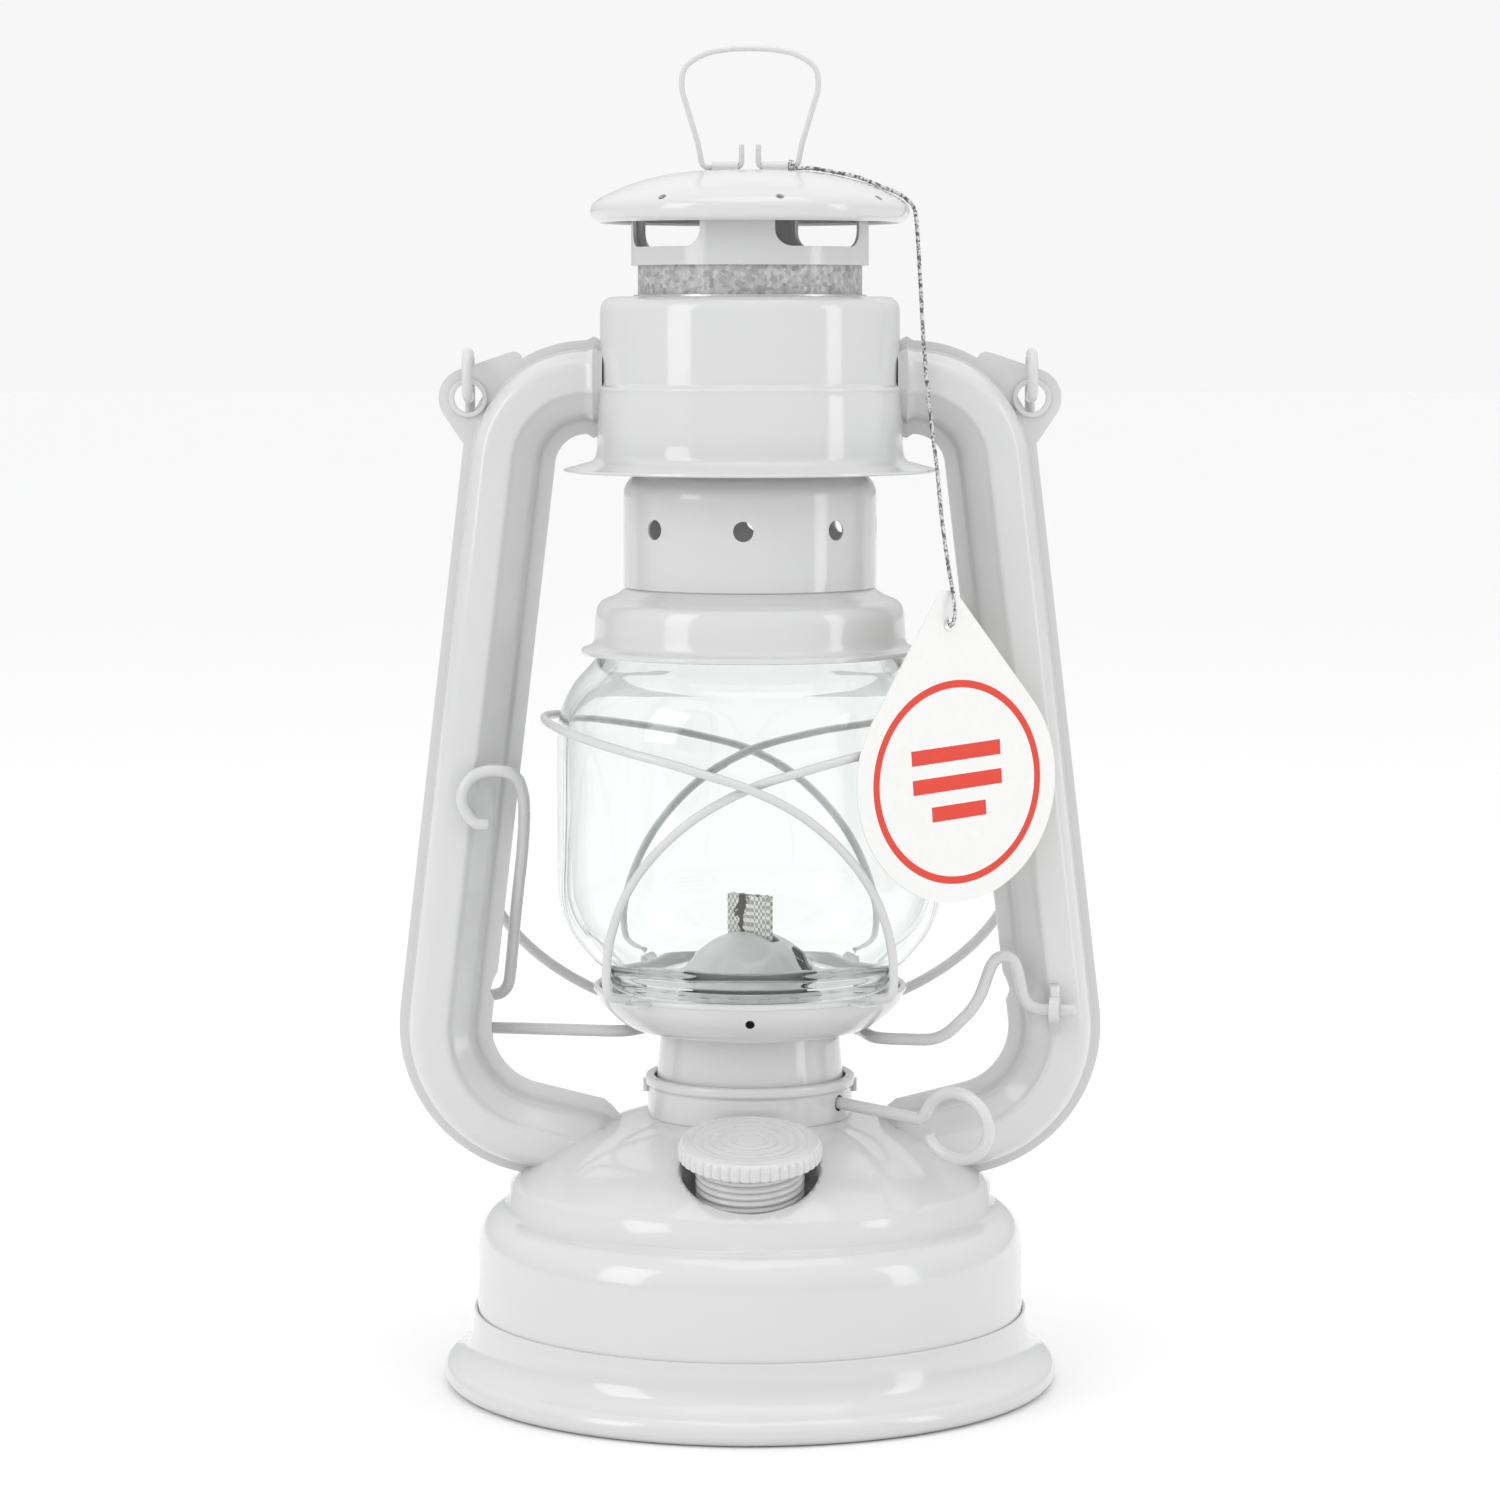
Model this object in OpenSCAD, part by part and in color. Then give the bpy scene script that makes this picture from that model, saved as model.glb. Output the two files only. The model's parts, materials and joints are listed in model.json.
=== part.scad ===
// Small tubular hurricane lantern with a paraffin tank, a lift lever and a carrying bail.
// Origin: on the floor under the lamp's axis. +X to the right, +Y to the back, +Z up. Millimetres.

/* [Tank] */
// Outer radius of the tank wall
tank_r = 59.5; // [50:0.5:70]
// Height of the tank's shoulder line
shoulder_z = 38.5; // [34:0.5:46]
// Outer radius of the beaded foot
foot_r = 66.9; // [60:0.1:80]
// Thickness of the pressed steel sheet
sheet = 0.7; // [0.5:0.1:1]

/* [Burner] */
// Outer radius of the burner collar
collar_r = 22.3; // [20:0.1:26]
// Height of the collar's top edge
collar_top = 67.4; // [64:0.1:72]
// Radius of the burner dome
dome_r = 13.1; // [11:0.1:15]
// Width of the flat wick
wick_w = 12.5; // [8:0.5:15]
// Radius of the wire of the wick shaft
shaft_r = 1.3; // [1:0.1:1.8]
// Outer radius of the filler cap
cap_r = 15.3; // [13:0.1:17]

/* [Globe] */
// Largest radius of the glass globe
globe_r = 41.7; // [36:0.1:44]
// Thickness of the glass
glass = 2.2; // [1.5:0.1:3]
// Radius of the dish that carries the globe
plate_r = 33.65; // [30:0.05:36]
// Radius on which the guard wires run
guard_r = 44.5; // [40:0.1:48]
// Radius of the guard wire
guard_wire_r = 0.95; // [0.7:0.05:1.3]

/* [Chimney] */
// Outer radius of the chimney tube
chimney_r = 27.3; // [24:0.1:29]
// Outer radius of the air chamber's lower wall
chamber_r = 33; // [31:0.1:36]
// Outer radius of the vent cap
vent_r = 34.4; // [30:0.1:38]
// Radius of the raw neck tube under the cap
neck_r = 24.1; // [21:0.1:25]

/* [Tubes] */
// Half width of a side tube over its seam flanges
tube_half = 10; // [9:0.1:11]
// Depth of one pressed tube half
tube_deep = 8.8; // [7:0.1:10]
// Bend radius of the tube's lower bend
low_bend = 23; // [20:0.5:25]
// Bend radius of the tube's upper bend
top_bend = 17; // [15:0.5:17.5]

/* [Wires] */
// Radius of the lift lever's wire
lever_r = 1.3; // [1:0.1:1.5]
// Radius of the bail's wire
bail_r = 1.15; // [0.8:0.05:1.4]
// Radius of the lifting ring's wire
ring_r = 0.6; // [0.5:0.05:0.8]

/* [Hidden] */
$fn = 96;

gap = 0.3;               // clearance between soft or curved faces of different bodies
run = 0.06;              // radial clearance of a wire in its eye
white = [0.9, 0.9, 0.9];

// heights of the main edges
wall_z0 = 14;
wall_z1 = shoulder_z - 9.5;
step_r = tank_r - 7;
step_z = shoulder_z + 4.7;
collar_z = step_z + 15.2;
deck_z = 85.6;
glass_z0 = deck_z + 0.6;
glass_z1 = 168;
hood_z = 159.2;
shoulder_top = 173.4;
neck_z = 199;
cage_z = 242.3;
cap_z = 262.5;

// plan direction of the burner shaft, and its offset from the wick
shaft_turn = -40;
shaft_drop = 2.5;
shaft_off = 3.7;
shaft_z = collar_top - 5;
wick_t = 1.4;

// filler axis: leans to the front
filler_y = -38.6;
filler_z = 59.5;
filler_tilt = 11.5;
neck_thread_r = 11.6;

// side tube centre line: leg slope, corner points and direction of the foot leg
leg_slope = 0.1177;
leg_angle = atan(leg_slope);
leg_x0 = 53.55;
leg_z0 = 187.7;
arm_z = 216.3;
foot_angle = 14;
foot_line = 41.85;
function leg_x(z) = leg_x0 + (leg_z0 - z) * leg_slope;
corner_low_z = (foot_line / cos(foot_angle) + tan(foot_angle) * leg_x(0))
             / (1 + tan(foot_angle) * leg_slope);
corner_low = [leg_x(corner_low_z), corner_low_z];
corner_top = [leg_x(arm_z), arm_z];
arm_in = [28, arm_z];
foot_in = corner_low - 46 * [cos(foot_angle), sin(foot_angle)];

// bail ears
ear_x = 60.6;
ear_z = 214;
ear_hole = 3.1;
hook_z = ear_z + 4.8;
hook_r = 4.8;
bail_lean = 10;

// lift lever axis: through one lug in front of the right tube and one behind the left tube
lug_x = 65.7;
lug_y = -12;
lever_z = 82.8;
lever_turn = atan(lug_y / lug_x);
lug_u = sqrt(lug_x * lug_x + lug_y * lug_y);
crank_w = -7.3;
bow_v = 24;

// ---- helpers -------------------------------------------------------------------------------

// points of a quadratic curve from a to c that leaves and arrives towards b
function bend(a, b, c, n) = [for (i = [0:n]) let (s = i / n)
    (1 - s) * (1 - s) * a + 2 * s * (1 - s) * b + s * s * c];

function unit(v) = v / norm(v);

// a path with each inner corner rounded over a length of up to r, in n steps
function rounded(p, r, n) = [for (i = [0:len(p) - 1])
    if (i == 0 || i == len(p) - 1) p[i]
    else let (a = p[i - 1] - p[i], c = p[i + 1] - p[i],
              t = min(r, 0.48 * norm(a), 0.48 * norm(c)))
        each bend(p[i] + t * unit(a), p[i], p[i] + t * unit(c), n)];

// one point of a smooth curve through p1 and p2
function through(p0, p1, p2, p3, s) = 0.5 * (2 * p1 + (p2 - p0) * s
    + (2 * p0 - 5 * p1 + 4 * p2 - p3) * s * s + (3 * p1 - p0 - 3 * p2 + p3) * s * s * s);

// a smooth curve through all the points, n steps between neighbours
function smooth(p, n) = [for (i = [0:len(p) - 2]) let (m = len(p) - 1)
    each [for (k = [0:(i == m - 1 ? n : n - 1)])
        through(p[max(i - 1, 0)], p[i], p[i + 1], p[min(i + 2, m)], k / n)]];

// outline of a sheet of thickness t whose outer face is the polyline p (left side is inside)
function side(v) = unit([-v[1], v[0]]);
function corner_shift(p, i) = let (m = len(p) - 1,
    a = side(p[max(i, 1)] - p[max(i, 1) - 1]), b = side(p[min(i, m - 1) + 1] - p[min(i, m - 1)]),
    s = a + b) s / max(0.3, (s * s) / 2);
function sheet_outline(p, t) = concat(p,
    [for (i = [len(p) - 1:-1:0]) p[i] + t * corner_shift(p, i)]);

module pressed(p, t = sheet) { rotate_extrude() polygon(sheet_outline(p, t)); }
module tube_z(r, z0, z1, t = sheet) {
    translate([0, 0, z0]) difference() {
        cylinder(r = r, h = z1 - z0);
        translate([0, 0, -1]) cylinder(r = r - t, h = z1 - z0 + 2);
    }
}

// a round wire along a path: rings of points carried without twist
function path_dir(p, i) = unit(p[min(i + 1, len(p) - 1)] - p[max(i - 1, 0)]);
function carried(n, d) = unit(n - (n * d) * d);
function first_normal(d) = abs(d[2]) < 0.9 ? carried([0, 0, 1], d) : carried([1, 0, 0], d);
function normals(p) = [for (i = 0, n = first_normal(path_dir(p, 0)); i < len(p);
    i = i + 1, n = i < len(p) ? carried(n, path_dir(p, i)) : n) n];
function ring_points(c, n, b, r, k) = [for (j = [0:k - 1])
    c + r * cos(360 * j / k) * n + r * sin(360 * j / k) * b];
module wire(p, r, k = 10) {
    ns = normals(p);
    m = len(p);
    pts = [for (i = [0:m - 1]) each ring_points(p[i], ns[i], cross(path_dir(p, i), ns[i]), r, k)];
    sides = [for (i = [0:m - 2]) for (j = [0:k - 1]) let (a = i * k + j, b = i * k + (j + 1) % k)
        each [[a, b + k, b], [a, a + k, b + k]]];
    polyhedron(concat(pts, [p[0], p[m - 1]]), concat(sides,
        [for (j = [0:k - 1]) [m * k, j, (j + 1) % k]],
        [for (j = [0:k - 1]) [m * k + 1, (m - 1) * k + (j + 1) % k, (m - 1) * k + j]]));
}

// ---- tank ----------------------------------------------------------------------------------

tank_face = concat([[tank_r, wall_z0], [tank_r, wall_z1]],
    bend([tank_r, wall_z1 + 1], [tank_r - 0.4, shoulder_z - 1], [step_r, shoulder_z], 6),
    bend([step_r, step_z], [step_r - 14, step_z + 12.5], [collar_r + 1.6, collar_z], 8),
    [[collar_r - 2, collar_z]]);

module filler_place() { translate([0, filler_y, filler_z]) rotate([filler_tilt, 0, 0]) children(); }
pocket_floor = -14.5;
module pocket(grow, low) {
    filler_place() translate([0, 0, low])
        cylinder(r1 = 12.9 + grow, r2 = 18.2 + grow, h = 6 - low);
}
module tank_shell() {
    color(white) difference() {
        union() {
            pressed(tank_face);
            intersection() {
                pocket(sheet, pocket_floor - sheet);
                rotate_extrude() polygon(concat([[0, wall_z0]], tank_face, [[0, collar_z]]));
            }
        }
        pocket(0, pocket_floor);
        filler_place() translate([0, 0, pocket_floor - 2]) cylinder(r = neck_thread_r - 0.7, h = 4);
        for (s = [-1, 1]) foot_leg_block(s);
    }
}
module foot_leg_block(s) {
    translate([s * foot_in[0], 0, foot_in[1]]) rotate([0, -s * foot_angle, 0])
        translate([s * 18, 0, 0]) cube([30, 2 * tube_deep - 5, 2 * tube_half - 10], center = true);
}
module foot_ring() {
    bead = 3;
    outer = concat([[tank_r + 0.1 + sheet, wall_z0 + 2], [tank_r + 0.1 + sheet, wall_z0]],
        bend([tank_r + 0.9, wall_z0 - 1.5], [tank_r + 1.2, 7.2], [foot_r - bead, 2 * bead], 8));
    rim = [for (a = [75:-15:-180]) [foot_r - bead + bead * cos(a), max(0, 2.85 + bead * sin(a))]];
    inner = concat([[foot_r - 2 * bead + 0.4, 2 * bead - 1.2]],
        bend([tank_r + 0.6, 8], [tank_r + 0.15, 9], [tank_r + 0.1, wall_z0 - 1], 4),
        [[tank_r + 0.1, wall_z0 + 2]]);
    color(white) rotate_extrude() polygon(concat(outer, rim, inner));
}
module tank_bottom() {
    color([0.8, 0.81, 0.82]) pressed([[1, 10], [40, 10], [44, 8.5], [tank_r - 3, 8.5],
        [tank_r - sheet - 0.1, 10.5], [tank_r - sheet - 0.1, wall_z0 + 5]]);
    color([0.8, 0.81, 0.82]) translate([0, 0, 10]) cylinder(r = 1.2, h = sheet);
}
module fuel_plate() {
    // closes the fuel space under the dome's air space
    color([0.8, 0.81, 0.82]) difference() {
        pressed([[11, 40.2], [12, 41.4], [step_r - 6, 41.4], [step_r - sheet - 0.05, 41.4],
            [step_r - sheet - 0.05, 42.6]], 0.5);
        filler_place() translate([0, 0, -30]) cylinder(r = neck_thread_r, h = 30);
    }
}
module filler_neck() {
    color(white) filler_place() difference() {
        union() {
            translate([0, 0, pocket_floor - 1.5]) cylinder(r = neck_thread_r - 0.73, h = 12.6);
            for (k = [0:4]) translate([0, 0, pocket_floor + 2.6 + 1.9 * k])
                rotate_extrude() polygon([[5, -0.7], [neck_thread_r - 0.7, -0.7],
                    [neck_thread_r, -0.25], [neck_thread_r, 0.25], [neck_thread_r - 0.7, 0.7], [5, 0.7]]);
        }
        translate([0, 0, pocket_floor - 3]) cylinder(r = neck_thread_r - 1.7, h = 20);
    }
}
module filler_cap() {
    skirt = 4.2;
    color(white) filler_place() difference() {
        union() {
            translate([0, 0, -skirt]) linear_extrude(3.3) polygon([for (i = [0:87])
                (cap_r - 0.45 * (i % 2)) * [cos(i * 360 / 88), sin(i * 360 / 88)]]);
            rotate_extrude() polygon([[0, -1.2], [cap_r - 0.3, -1.2], [cap_r - 0.8, -0.5],
                [cap_r - 2, -0.1], [9, 0], [0, 0.1]]);
        }
        translate([0, 0, -skirt - 1]) cylinder(r = neck_thread_r + run, h = skirt);
    }
}
module filler_gasket() {
    color([0.2, 0.2, 0.2]) filler_place() translate([0, 0, -2.2])
        difference() {
            cylinder(r = neck_thread_r - 0.2, h = 1);
            translate([0, 0, -1]) cylinder(r = neck_thread_r - 2.6, h = 3);
        }
}

// ---- burner --------------------------------------------------------------------------------

module shaft_place() {
    rotate([0, 0, shaft_turn]) translate([0, shaft_off, shaft_z])
        translate([collar_r, 0, 0]) rotate([0, shaft_drop, 0]) translate([-collar_r, 0, 0])
            children();
}
module along_x(r, x0, x1) { translate([x0, 0, 0]) rotate([0, 90, 0]) cylinder(r = r, h = x1 - x0); }
module burner_collar() {
    color(white) {
        difference() {
            union() {
                tube_z(collar_r, collar_z, collar_top, 0.8);
                tube_z(collar_r + 0.5, collar_top - 1.6, collar_top, 1);
                for (a = [0, 180]) rotate([0, 0, a]) translate([collar_r - 0.3, -2, collar_top - 4])
                    cube([1.3, 4, 2.6]);
            }
            shaft_place() along_x(shaft_r + run, 12, 30);
            rotate([0, 0, -62]) translate([collar_r - 2, 0, collar_top - 4.4])
                along_x(1.3, 0, 4);
        }
    }
}
module burner_base() {
    color("gainsboro") difference() {
        union() {
            translate([0, 0, collar_z]) cylinder(r = collar_r - 0.9, h = 0.6);
            translate([0, 0, collar_z - 7]) cylinder(r = 15, h = 7.1);
        }
        translate([0, 0, collar_z - 8]) cylinder(r = 13.6, h = 7);
        rotate([0, 0, shaft_turn]) cube([wick_w + 2.4, 4.2, 200], center = true);
    }
}
module burner_barrel() {
    color("gainsboro") difference() {
        union() {
            tube_z(12.4, collar_z + 0.6, 90, 0.5);
            tube_z(dome_r + 1.4, 89.4, 90, 2.5);
        }
        shaft_place() along_x(shaft_r + run, -30, 30);
        for (a = [20:40:340]) rotate([0, 0, a]) translate([0, 0, 74]) along_x(1.5, 8, 20);
    }
}
module wick_tube() {
    color("gainsboro") rotate([0, 0, shaft_turn]) difference() {
        translate([0, 0, 72]) cube([wick_w + 2, 3.8, 38], center = true);
        translate([0, 0, 72]) cube([wick_w + 0.8, wick_t + 0.8, 60], center = true);
        translate([0, 4 + wick_t / 2 - 0.1, shaft_z]) cube([wick_w - 2, 8, 9], center = true);
    }
}
module burner_dome() {
    ball = (dome_r * dome_r + 7.8 * 7.8) / (2 * 7.8);
    a0 = asin(dome_r / ball);
    face = concat([[dome_r + 1.2, 90.1], [dome_r + 1.2, 90.6]],
        [for (a = [a0:-a0 / 10:0.1]) [ball * sin(a), 98.4 - ball + ball * cos(a)]], [[0.6, 98.4]]);
    color("gainsboro") difference() {
        pressed(face, 0.5);
        rotate([0, 0, shaft_turn]) translate([0, 0, 98]) cube([wick_w + 2.6, 4.6, 12], center = true);
        translate([0, 0, 95]) rotate([0, 55, -8]) translate([0, 0, 6])
            cylinder(r = 3.3, h = 12);
    }
}
module wick() {
    color([0.93, 0.92, 0.88]) rotate([0, 0, shaft_turn]) translate([-wick_w / 2, -wick_t / 2, 25])
        cube([wick_w, wick_t, 81.6]);
}
module wick_shaft() {
    reach = 45.6;
    loop = [for (a = [180:-18:-160]) [reach + 8.4 + 8.4 * cos(a), 0, 7 * sin(a)]];
    color(white) shaft_place() {
        along_x(shaft_r, -9, reach - 0.4);
        wire(concat([[reach - 0.8, 0, 0]], [for (i = [1:len(loop) - 1]) loop[i]]), shaft_r, 12);
    }
}
module spur_wheels() {
    wheel = shaft_off - wick_t / 2 - 0.1;
    color("goldenrod") shaft_place() for (x = [-4.2, 2.8]) translate([x, 0, 0]) rotate([0, 90, 0])
        difference() {
            linear_extrude(1.4) polygon([for (i = [0:31])
                (wheel - 0.5 * (i % 2)) * [cos(i * 11.25), sin(i * 11.25)]]);
                translate([0, 0, -1]) cylinder(r = shaft_r + 0.02, h = 4);
        }
}

// ---- side tubes ----------------------------------------------------------------------------

// the centre line in the XZ plane, from the tank to the chamber
turn_low = 90 - foot_angle + leg_angle;
turn_top = 90 - leg_angle;
leg_dir = [-sin(leg_angle), cos(leg_angle)];
foot_dir = [cos(foot_angle), sin(foot_angle)];
cut_low = low_bend * tan(turn_low / 2);
cut_top = top_bend * tan(turn_top / 2);
low_start = corner_low - cut_low * foot_dir;
low_end = corner_low + cut_low * leg_dir;
top_start = corner_top - cut_top * leg_dir;
top_end = corner_top - cut_top * [1, 0];
low_centre = low_start + low_bend * [-foot_dir[1], foot_dir[0]];
top_centre = top_end - top_bend * [0, 1];

// cross-section of a front half: [distance outwards from the centre line, depth to the front]
seam_out = 2;
seam_in = 3;
tube_crest = [[tube_half - seam_out - 0.2, 4.8], [tube_half - 3.4, tube_deep - 1.4],
    [tube_half - 5, tube_deep - 0.4], [1, tube_deep], [-0.6, tube_deep - 0.2],
    [-tube_half + 4.4, tube_deep - 3.9], [-tube_half + seam_in + 0.1, 2.4]];
tube_section = concat(
    [[tube_half, 0], [tube_half, sheet], [tube_half - seam_out, sheet]], tube_crest,
    [[-tube_half + seam_in, sheet], [-tube_half, sheet], [-tube_half, 0],
     [-tube_half + seam_in + sheet, 0]],
    [for (i = [len(tube_crest) - 1:-1:0]) tube_crest[i] + sheet * corner_shift(tube_crest, i)],
    [[tube_half - seam_out - sheet, 0]]);

// sweeps a 2-D section along the centre line: two bends and three straight runs
module straight_run(a, d, length) {
    // section x goes to the right of the direction d, section y to the front
    translate([a[0], 0, a[1]]) rotate([0, atan2(d[0], d[1]), 0])
        linear_extrude(length) mirror([0, 1]) children();
}
module bend_run(centre, radius, start, turn) {
    translate([centre[0], 0, centre[1]]) rotate([90, 0, 0]) rotate([0, 0, start])
        rotate_extrude(angle = turn) polygon([for (p = tube_section) [radius + p[0], p[1]]]);
}
// a short sleeve, a hair larger than the section, that joins a bend to a straight run
sleeve = 0.03;
sleeve_section = [for (i = [0:len(tube_section) - 1]) let (m = len(tube_section),
    a = side(tube_section[i] - tube_section[(i + m - 1) % m]),
    b = side(tube_section[(i + 1) % m] - tube_section[i]), v = a + b,
    q = tube_section[i] - sleeve * v / max(0.3, (v * v) / 2)) [q[0], max(q[1], 0.02)]];
module joint_sleeve(at, d) { straight_run(at - 0.5 * d, d, 1) polygon(sleeve_section); }
module tube_sweep() {
    open = 0.3;
    straight_run(foot_in, foot_dir, norm(low_start - foot_in) - open) polygon(tube_section);
    joint_sleeve(low_start, foot_dir);
    bend_run(low_centre, low_bend, foot_angle - 90, turn_low);
    joint_sleeve(low_end, leg_dir);
    straight_run(low_end + open * leg_dir, leg_dir, norm(top_start - low_end) - 2 * open)
        polygon(tube_section);
    joint_sleeve(top_start, leg_dir);
    bend_run(top_centre, top_bend, leg_angle, turn_top);
    joint_sleeve(top_end, [-1, 0]);
    straight_run(top_end - [open, 0], [-1, 0], norm(top_end - arm_in) - open) polygon(tube_section);
}
module ear_plate() {
    translate([0, -0.04, 0]) rotate([90, 0, 0]) linear_extrude(sheet + 0.05) difference() {
        hull() {
            translate([ear_x, ear_z]) circle(r = 6.4, $fn = 48);
            translate([51, 222]) circle(r = 2, $fn = 24);
            translate([60.6, 206]) circle(r = 2, $fn = 24);
        }
        translate([ear_x, ear_z]) circle(r = ear_hole + 0.8);
        translate(top_centre) circle(r = top_bend + tube_half - 1);
        translate(top_start) rotate(leg_angle) translate([0, -30]) square([tube_half - 1, 30]);
    }
}
module tube_half_front() {
    difference() {
        union() {
            tube_sweep();
            ear_plate();
        }
        // room for the chamber wall, for the bail's eyelet and for the tank's dome
        cylinder(r = chamber_r + 0.37, h = 400);
        translate([ear_x, 0, ear_z]) rotate([90, 0, 0])
            cylinder(r = ear_hole + 0.78, h = 20, center = true);
        rotate_extrude() polygon(concat([[0, 0]], tank_face, [[0, collar_z]]));
    }
}
module right_tube_front() { color(white) tube_half_front(); }
module right_tube_back() { color(white) mirror([0, 1, 0]) tube_half_front(); }
module left_tube_front() { color(white) mirror([1, 0, 0]) tube_half_front(); }
module left_tube_back() { color(white) mirror([1, 0, 0]) mirror([0, 1, 0]) tube_half_front(); }
eyelet_r = ear_hole + 1.1;
module bail_eyelets() {
    color("silver") for (s = [-1, 1]) translate([s * ear_x, 0, ear_z]) rotate([90, 0, 0])
        rotate_extrude() polygon([[ear_hole, -1.4], [eyelet_r, -1.4], [eyelet_r, -sheet - 0.11],
            [ear_hole + 0.75, -sheet - 0.11], [ear_hole + 0.75, sheet + 0.11],
            [eyelet_r, sheet + 0.11], [eyelet_r, 1.4], [ear_hole, 1.4]]);
}
module lug() {
    // stands on the face of a tube half and holds the lever's wire
    difference() {
        union() {
            rotate([0, 0, lever_turn]) translate([lug_u - 1.1, 0, lever_z]) along_x(3, 0, 2.2);
            translate([lug_x - 1.1, lug_y, lever_z - 5.15]) cube([2.2, -lug_y - tube_deep - 0.04, 10.3]);
        }
        rotate([0, 0, lever_turn]) translate([lug_u, 0, lever_z]) along_x(lever_r + run, -5, 5);
    }
}
module lever_lugs() {
    color(white) for (a = [0, 180]) rotate([0, 0, a]) lug();
}

// ---- lever and bail ------------------------------------------------------------------------

function lever_point(u, v, w) = [u * cos(lever_turn) - v * sin(lever_turn),
    u * sin(lever_turn) + v * cos(lever_turn), lever_z + w];
bow = [for (a = [14:19:166]) lever_point(25.5 * cos(a), bow_v * sin(a), crank_w)];
lever_path = rounded(concat(
    [lever_point(71.5, 0, 0), lever_point(60.5, 0, 0), lever_point(58, 0, 11.4),
     lever_point(53.5, 0, 11.4), lever_point(50, 0, 0.8), lever_point(42, 0, crank_w),
     lever_point(28, 0, crank_w)],
    bow,
    [lever_point(-28, 0, crank_w), lever_point(-71.3, 0, crank_w), lever_point(-71.3, 0, 0),
     lever_point(-54.2, 0, 0)],
    [[-52.3, 8, 91], [-51.3, 4.6, 101], [-49, -1.2, 119], [-48.6, -7, 129], [-50.5, -11.3, 134.4],
     [-59, -11.6, 134.6], [-62.6, -11.4, 128.5], [-59.5, -11.3, 123], [-55.7, -11.3, 122.8]]), 4, 3);
module lift_lever() { color(white) wire(lever_path, lever_r, 10); }

// one side of the bail in its own plane: hook round the ear's rim, arm, half of the low curve
bail_bow = [for (a = [12:12:168]) [ear_x * cos(a), 106 + 42 * sin(a)]];
function hook(s, a) = [s * ear_x, hook_r * cos(a), hook_r * sin(a)];
function hang(p) = [p[0], hook_r, -p[1]];
function lean(p) = [p[0], p[1] * cos(bail_lean) - p[2] * sin(bail_lean),
    p[1] * sin(bail_lean) + p[2] * cos(bail_lean) + hook_z];
bail_path = [for (p = concat(
    [for (a = [295:-15:0]) hook(1, a)],
    [[ear_x, hook_r, -40], [ear_x, hook_r, -80], [ear_x, hook_r, -100]],
    [for (q = bail_bow) hang(q)],
    [[-ear_x, hook_r, -100], [-ear_x, hook_r, -80], [-ear_x, hook_r, -40]],
    [for (a = [0:15:295]) hook(-1, a)])) lean(p)];
module bail() { color(white) wire(bail_path, bail_r, 10); }

// ---- air chamber ---------------------------------------------------------------------------

chamber_face = concat([[chamber_r + 7.1, 198.8]],
    bend([chamber_r + 3.4, 199.9], [chamber_r + 0.1, 200.6], [chamber_r, 203.3], 5),
    [[chamber_r, 215.4], [chamber_r + 0.35, 216.2], [chamber_r - 0.7, 217.2], [chamber_r - 0.8, 233.2]],
    bend([chamber_r - 0.8, 233.4], [chamber_r - 0.8, 235.7], [chamber_r - 3.1, 235.7], 4),
    [[neck_r + 0.9, 235.7]]);
module air_chamber() {
    color(white) difference() {
        pressed(chamber_face);
        for (s = [-1, 1]) translate([s * 32, 0, arm_z])
            cube([16, 2 * tube_deep - 3, 2 * tube_half - 8], center = true);
    }
}
module chamber_floor() {
    color("gainsboro") translate([0, 0, 204]) difference() {
        cylinder(r = chamber_r - sheet - 0.03, h = 0.6);
        translate([0, 0, -1]) cylinder(r = chimney_r + gap, h = 3);
    }
}
module chimney_guide() { color("gainsboro") tube_z(neck_r + 0.9, 228, 236.1, 0.6); }

// ---- carriage ------------------------------------------------------------------------------

guard_foot = 42;
module globe_plate() {
    low_r = plate_r - 7.35;
    face = concat([[18.6, 77.5], [low_r - 1.4, 77.5]],
        bend([low_r, 78.2], [plate_r - 3.4, 80], [plate_r - 0.4, 85.2], 5),
        [[plate_r, 86.3]]);
    color(white) difference() {
        union() {
            pressed(face);
            rotate_extrude() translate([plate_r - 0.3, 86.3]) circle(r = 0.75, $fn = 24);
            for (a = [guard_foot, -guard_foot, 180 - guard_foot, 180 + guard_foot])
                rotate([0, 0, a - 90]) translate([plate_r - 0.6, -2.4, 85.6]) cube([5.4, 4.8, 0.9]);
        }
        translate([0, 0, 82.6]) rotate([90, 0, 0]) cylinder(r = 1, h = 60);
    }
}
module globe_deck() {
    color("gainsboro") difference() {
        pressed([[14.9, 87.6], [15.1, deck_z], [plate_r - 2.5, deck_z], [plate_r - 2.5, deck_z - 0.8]], 0.6);
        for (a = [0:20:340]) rotate([0, 0, a]) for (r = [18.5, 24.5])
            translate([r, 0, deck_z - 3]) cylinder(r = 1.2, h = 6);
    }
}
module globe_skirt() {
    color(white) pressed([[20.45, 65.4], [20.3, 67], [19.3, 77.5]], 0.6);
}
guard_shape = [[133, 90], [132, 99], [127, 109], [118, 118.5], [105, 127.5], [90, 133.8],
    [75, 137.4], [60, 140], [30, 143.6], [0, 145]];
guard_turns = concat(guard_shape, [for (i = [len(guard_shape) - 2:-1:0])
    [-guard_shape[i][0], guard_shape[i][1]]]);
function guard_point(a, z, r) = [-r * cos(a), -r * sin(a), z];
function guard_path(s) = concat(
    [guard_point(133, 87.5, plate_r + 3.6), guard_point(133, 88.4, guard_r - 1.4)],
    [for (q = smooth(guard_turns, 3))
        guard_point(q[0], q[1], guard_r + s * 1.1 * exp(-pow((abs(q[0]) - 90) / 14, 2)))],
    [guard_point(-133, 88.4, guard_r - 1.4), guard_point(-133, 87.5, plate_r + 3.6)]);
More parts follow.
